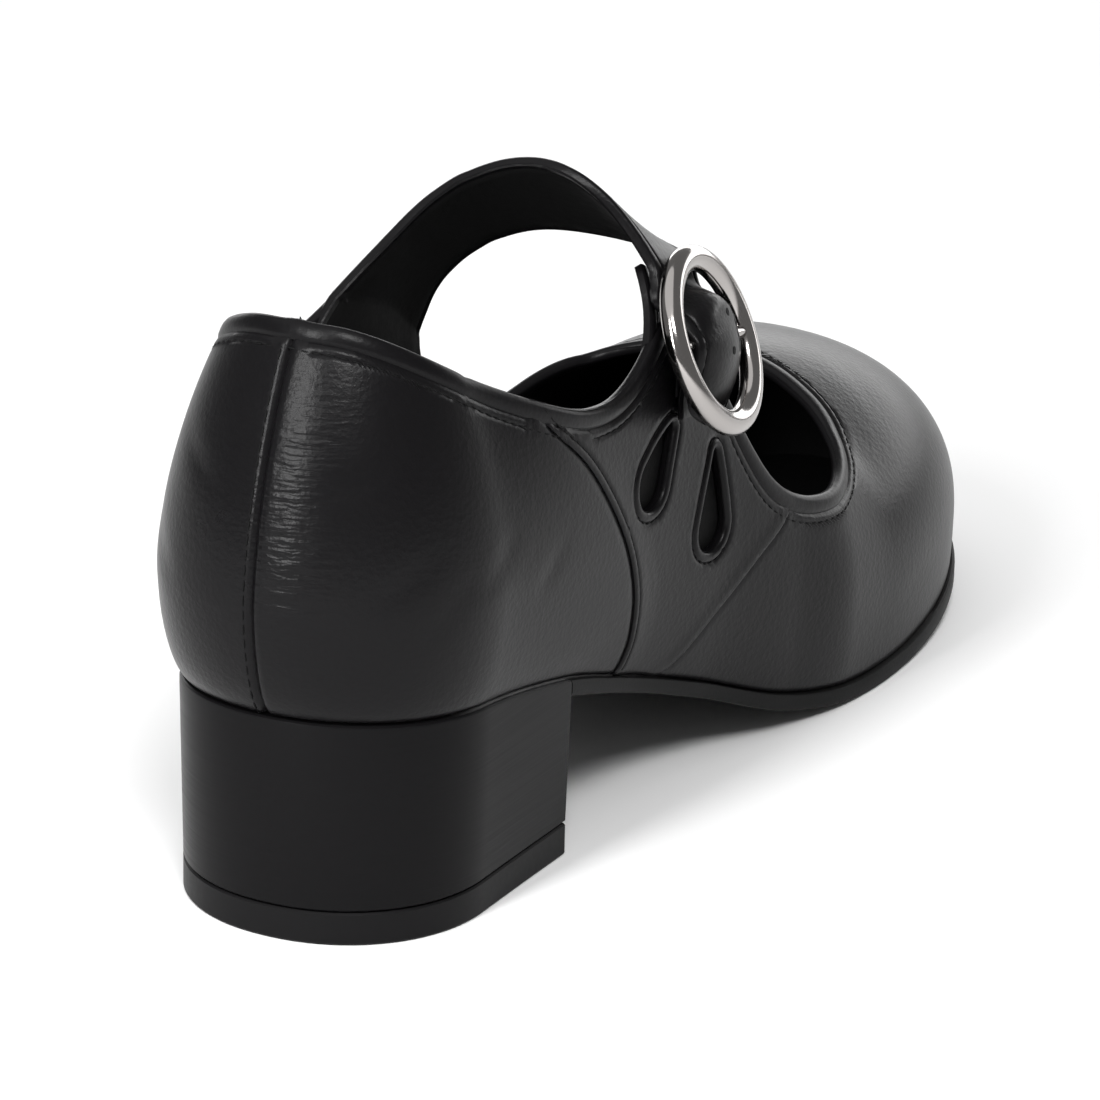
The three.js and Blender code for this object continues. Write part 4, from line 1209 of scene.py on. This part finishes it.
def stitched(name, points, normals, pitch=2.3, length=1.75, thickness=0.38, lift=0.0):
    """A row of stitches along points in space; normals are the outward directions there."""
    seam = bpy.data.meshes.new(name + "_path")
    path = (points + normals * lift - SHIFT) / 1000.0
    seam.from_pydata(path.tolist(), [(k, k + 1) for k in range(len(path) - 1)], [])
    up = seam.attributes.new("up", "FLOAT_VECTOR", "POINT")
    up.data.foreach_set("vector", normals.astype(np.float32).ravel())
    guide = bpy.data.objects.new(name + "_path", seam)
    bpy.context.scene.collection.objects.link(guide)
    modifier = guide.modifiers.new("stitches", "NODES")
    modifier.node_group = stitch_tree
    sizes = {"Pitch": pitch, "Length": length, "Thickness": thickness}
    for item in stitch_tree.interface.items_tree:
        if item.in_out == "INPUT" and item.name in sizes:
            modifier[item.identifier] = sizes[item.name] / 1000.0
    bpy.context.view_layer.update()
    baked = bpy.data.meshes.new_from_object(guide.evaluated_get(bpy.context.evaluated_depsgraph_get()))
    guide.modifiers.clear()
    bpy.data.objects.remove(guide)
    baked.shade_smooth()
    made = bpy.data.objects.new(name, baked)
    bpy.context.scene.collection.objects.link(made)
    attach(made, "root")
    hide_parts("upper")
    return made


def stitched_on_last(name, line, offset, inward, lift, **sizes):
    row = beside(line, offset, inward) if offset else line
    return stitched(name, on_last(*row.T), outward(*row.T), lift=lift, **sizes)


def stitched_on_strap(name, from_rear):
    """A row along the groove near one edge of the strap, from its root to its tip."""
    width = np.linalg.norm(np.diff(strap_base, axis=1), axis=2).sum(1)
    share = STRAP_GROOVE / np.maximum(width, NARROWEST_STRAP)
    share = share if from_rear else 1 - share
    keep = slice(9, len(width) - 6)
    row = np.einsum("rf,rfc->rc", across_weights(share), strap_base)
    column = np.argmin(np.abs(strap_share - share[:, None]), axis=1)
    normal = strap_normal[np.arange(len(width)), column]
    return stitched(name, row[keep], normal[keep], lift=-0.12)


stitched_on_last("stitches_topline", topline[2:-1], 5.25, 1, -0.1)
stitched_on_last("stitches_throat", throat[2:-1], 5.25, -1, -0.1)
stitched_on_last("stitches_quarter_lateral", quarter_seam_lat[6:], 1.45, 1, 0.13)
stitched_on_last("stitches_quarter_medial", quarter_seam_med[6:], 1.45, -1, 0.13)
stitched_on_last("stitches_back_seam", back_seam[8:-1], 1.5, -1, 0.08, pitch=2.6, length=2.0)
for side, side_name in ((LAT, "lateral"), (MED, "medial")):
    for drop, place_name in zip(drops[side], ("rear", "front")):
        stitched_on_last("stitches_teardrop_" + side_name + "_" + place_name, drop, 2.05,
                         -1 if side == LAT else 1, -0.22, pitch=1.9, length=1.4, thickness=0.38)
stitched_on_last("stitches_guard_tab", guard_outline[8:-8], 2.4, -1, -0.68)
stitched_on_strap("stitches_strap_rear", True)
stitched_on_strap("stitches_strap_front", False)

# ----------------------------------------
# Studio: a pale floor, a soft key from the left, a broad light overhead and a camera that looks
# down on the shoe from behind its outer side.
# ----------------------------------------
floor_paint, _, _, _ = surface("floor_white", (0.93, 0.93, 0.93), 0.9)
bpy.ops.mesh.primitive_plane_add(size=8.0)
floor = bpy.context.object
floor.name = "studio_floor"
floor.data.materials.append(floor_paint)

world = bpy.data.worlds.new("studio")
world.use_nodes = True
world.node_tree.nodes["Background"].inputs[0].default_value = (1.0, 1.0, 1.0, 1.0)
world.node_tree.nodes["Background"].inputs[1].default_value = 0.22
bpy.context.scene.world = world
bpy.context.scene.view_settings.view_transform = "Standard"

VIEW_LENS, VIEW_SENSOR = 196.0, 36.0
FORWARD = Vector((-0.474, 0.814, -0.336)).normalized()
VIEW_SHIFT_X, VIEW_SHIFT_Y = 0.336, -0.037
EYE, LAMP_AIM = (463.9, -826.0, 416.0), (0.0, 119.4, 55.0)
eye = Vector((np.array(EYE) - SHIFT) / 1000.0)
target = Vector((np.array(LAMP_AIM) - SHIFT) / 1000.0)


def softbox(name, turn, rise, away, width, height, power):
    """A lamp panel that faces the shoe: turn is measured from the camera's side, clockwise seen
    from above, and rise from the floor, in degrees."""
    back = Vector((-FORWARD.x, -FORWARD.y, 0)).normalized()
    way = Matrix.Rotation(math.radians(-turn), 3, "Z") @ back
    way = way * math.cos(math.radians(rise)) + Vector((0, 0, math.sin(math.radians(rise))))
    lamp = bpy.data.lights.new(name, "AREA")
    lamp.shape = "RECTANGLE"
    lamp.size, lamp.size_y, lamp.energy = width, height, power
    made = bpy.data.objects.new(name, lamp)
    bpy.context.scene.collection.objects.link(made)
    made.location = target + way * away
    made.rotation_euler = (-way).to_track_quat("-Z", "Y").to_euler()
    return made


sun = bpy.data.lights.new("broad_top_light", "SUN")
sun.energy, sun.angle = 0.95, math.radians(75)
sun_object = bpy.data.objects.new("broad_top_light", sun)
bpy.context.scene.collection.objects.link(sun_object)
sun_object.rotation_euler = (math.radians(12), math.radians(-10), 0)
softbox("key_left", 38, 26, 1.6, 0.22, 0.9, 21)
softbox("front_top", -4, 46, 1.5, 0.40, 0.34, 13)
softbox("backdrop", -165, 12, 1.9, 4.2, 0.6, 25)

camera = bpy.data.objects.new("camera", bpy.data.cameras.new("camera"))
bpy.context.scene.collection.objects.link(camera)
camera.location = eye
camera.rotation_euler = FORWARD.to_track_quat("-Z", "Y").to_euler()
camera.data.lens, camera.data.sensor_width = VIEW_LENS, VIEW_SENSOR
camera.data.shift_x, camera.data.shift_y = VIEW_SHIFT_X, VIEW_SHIFT_Y
camera.data.clip_end = 20.0
bpy.context.scene.camera = camera
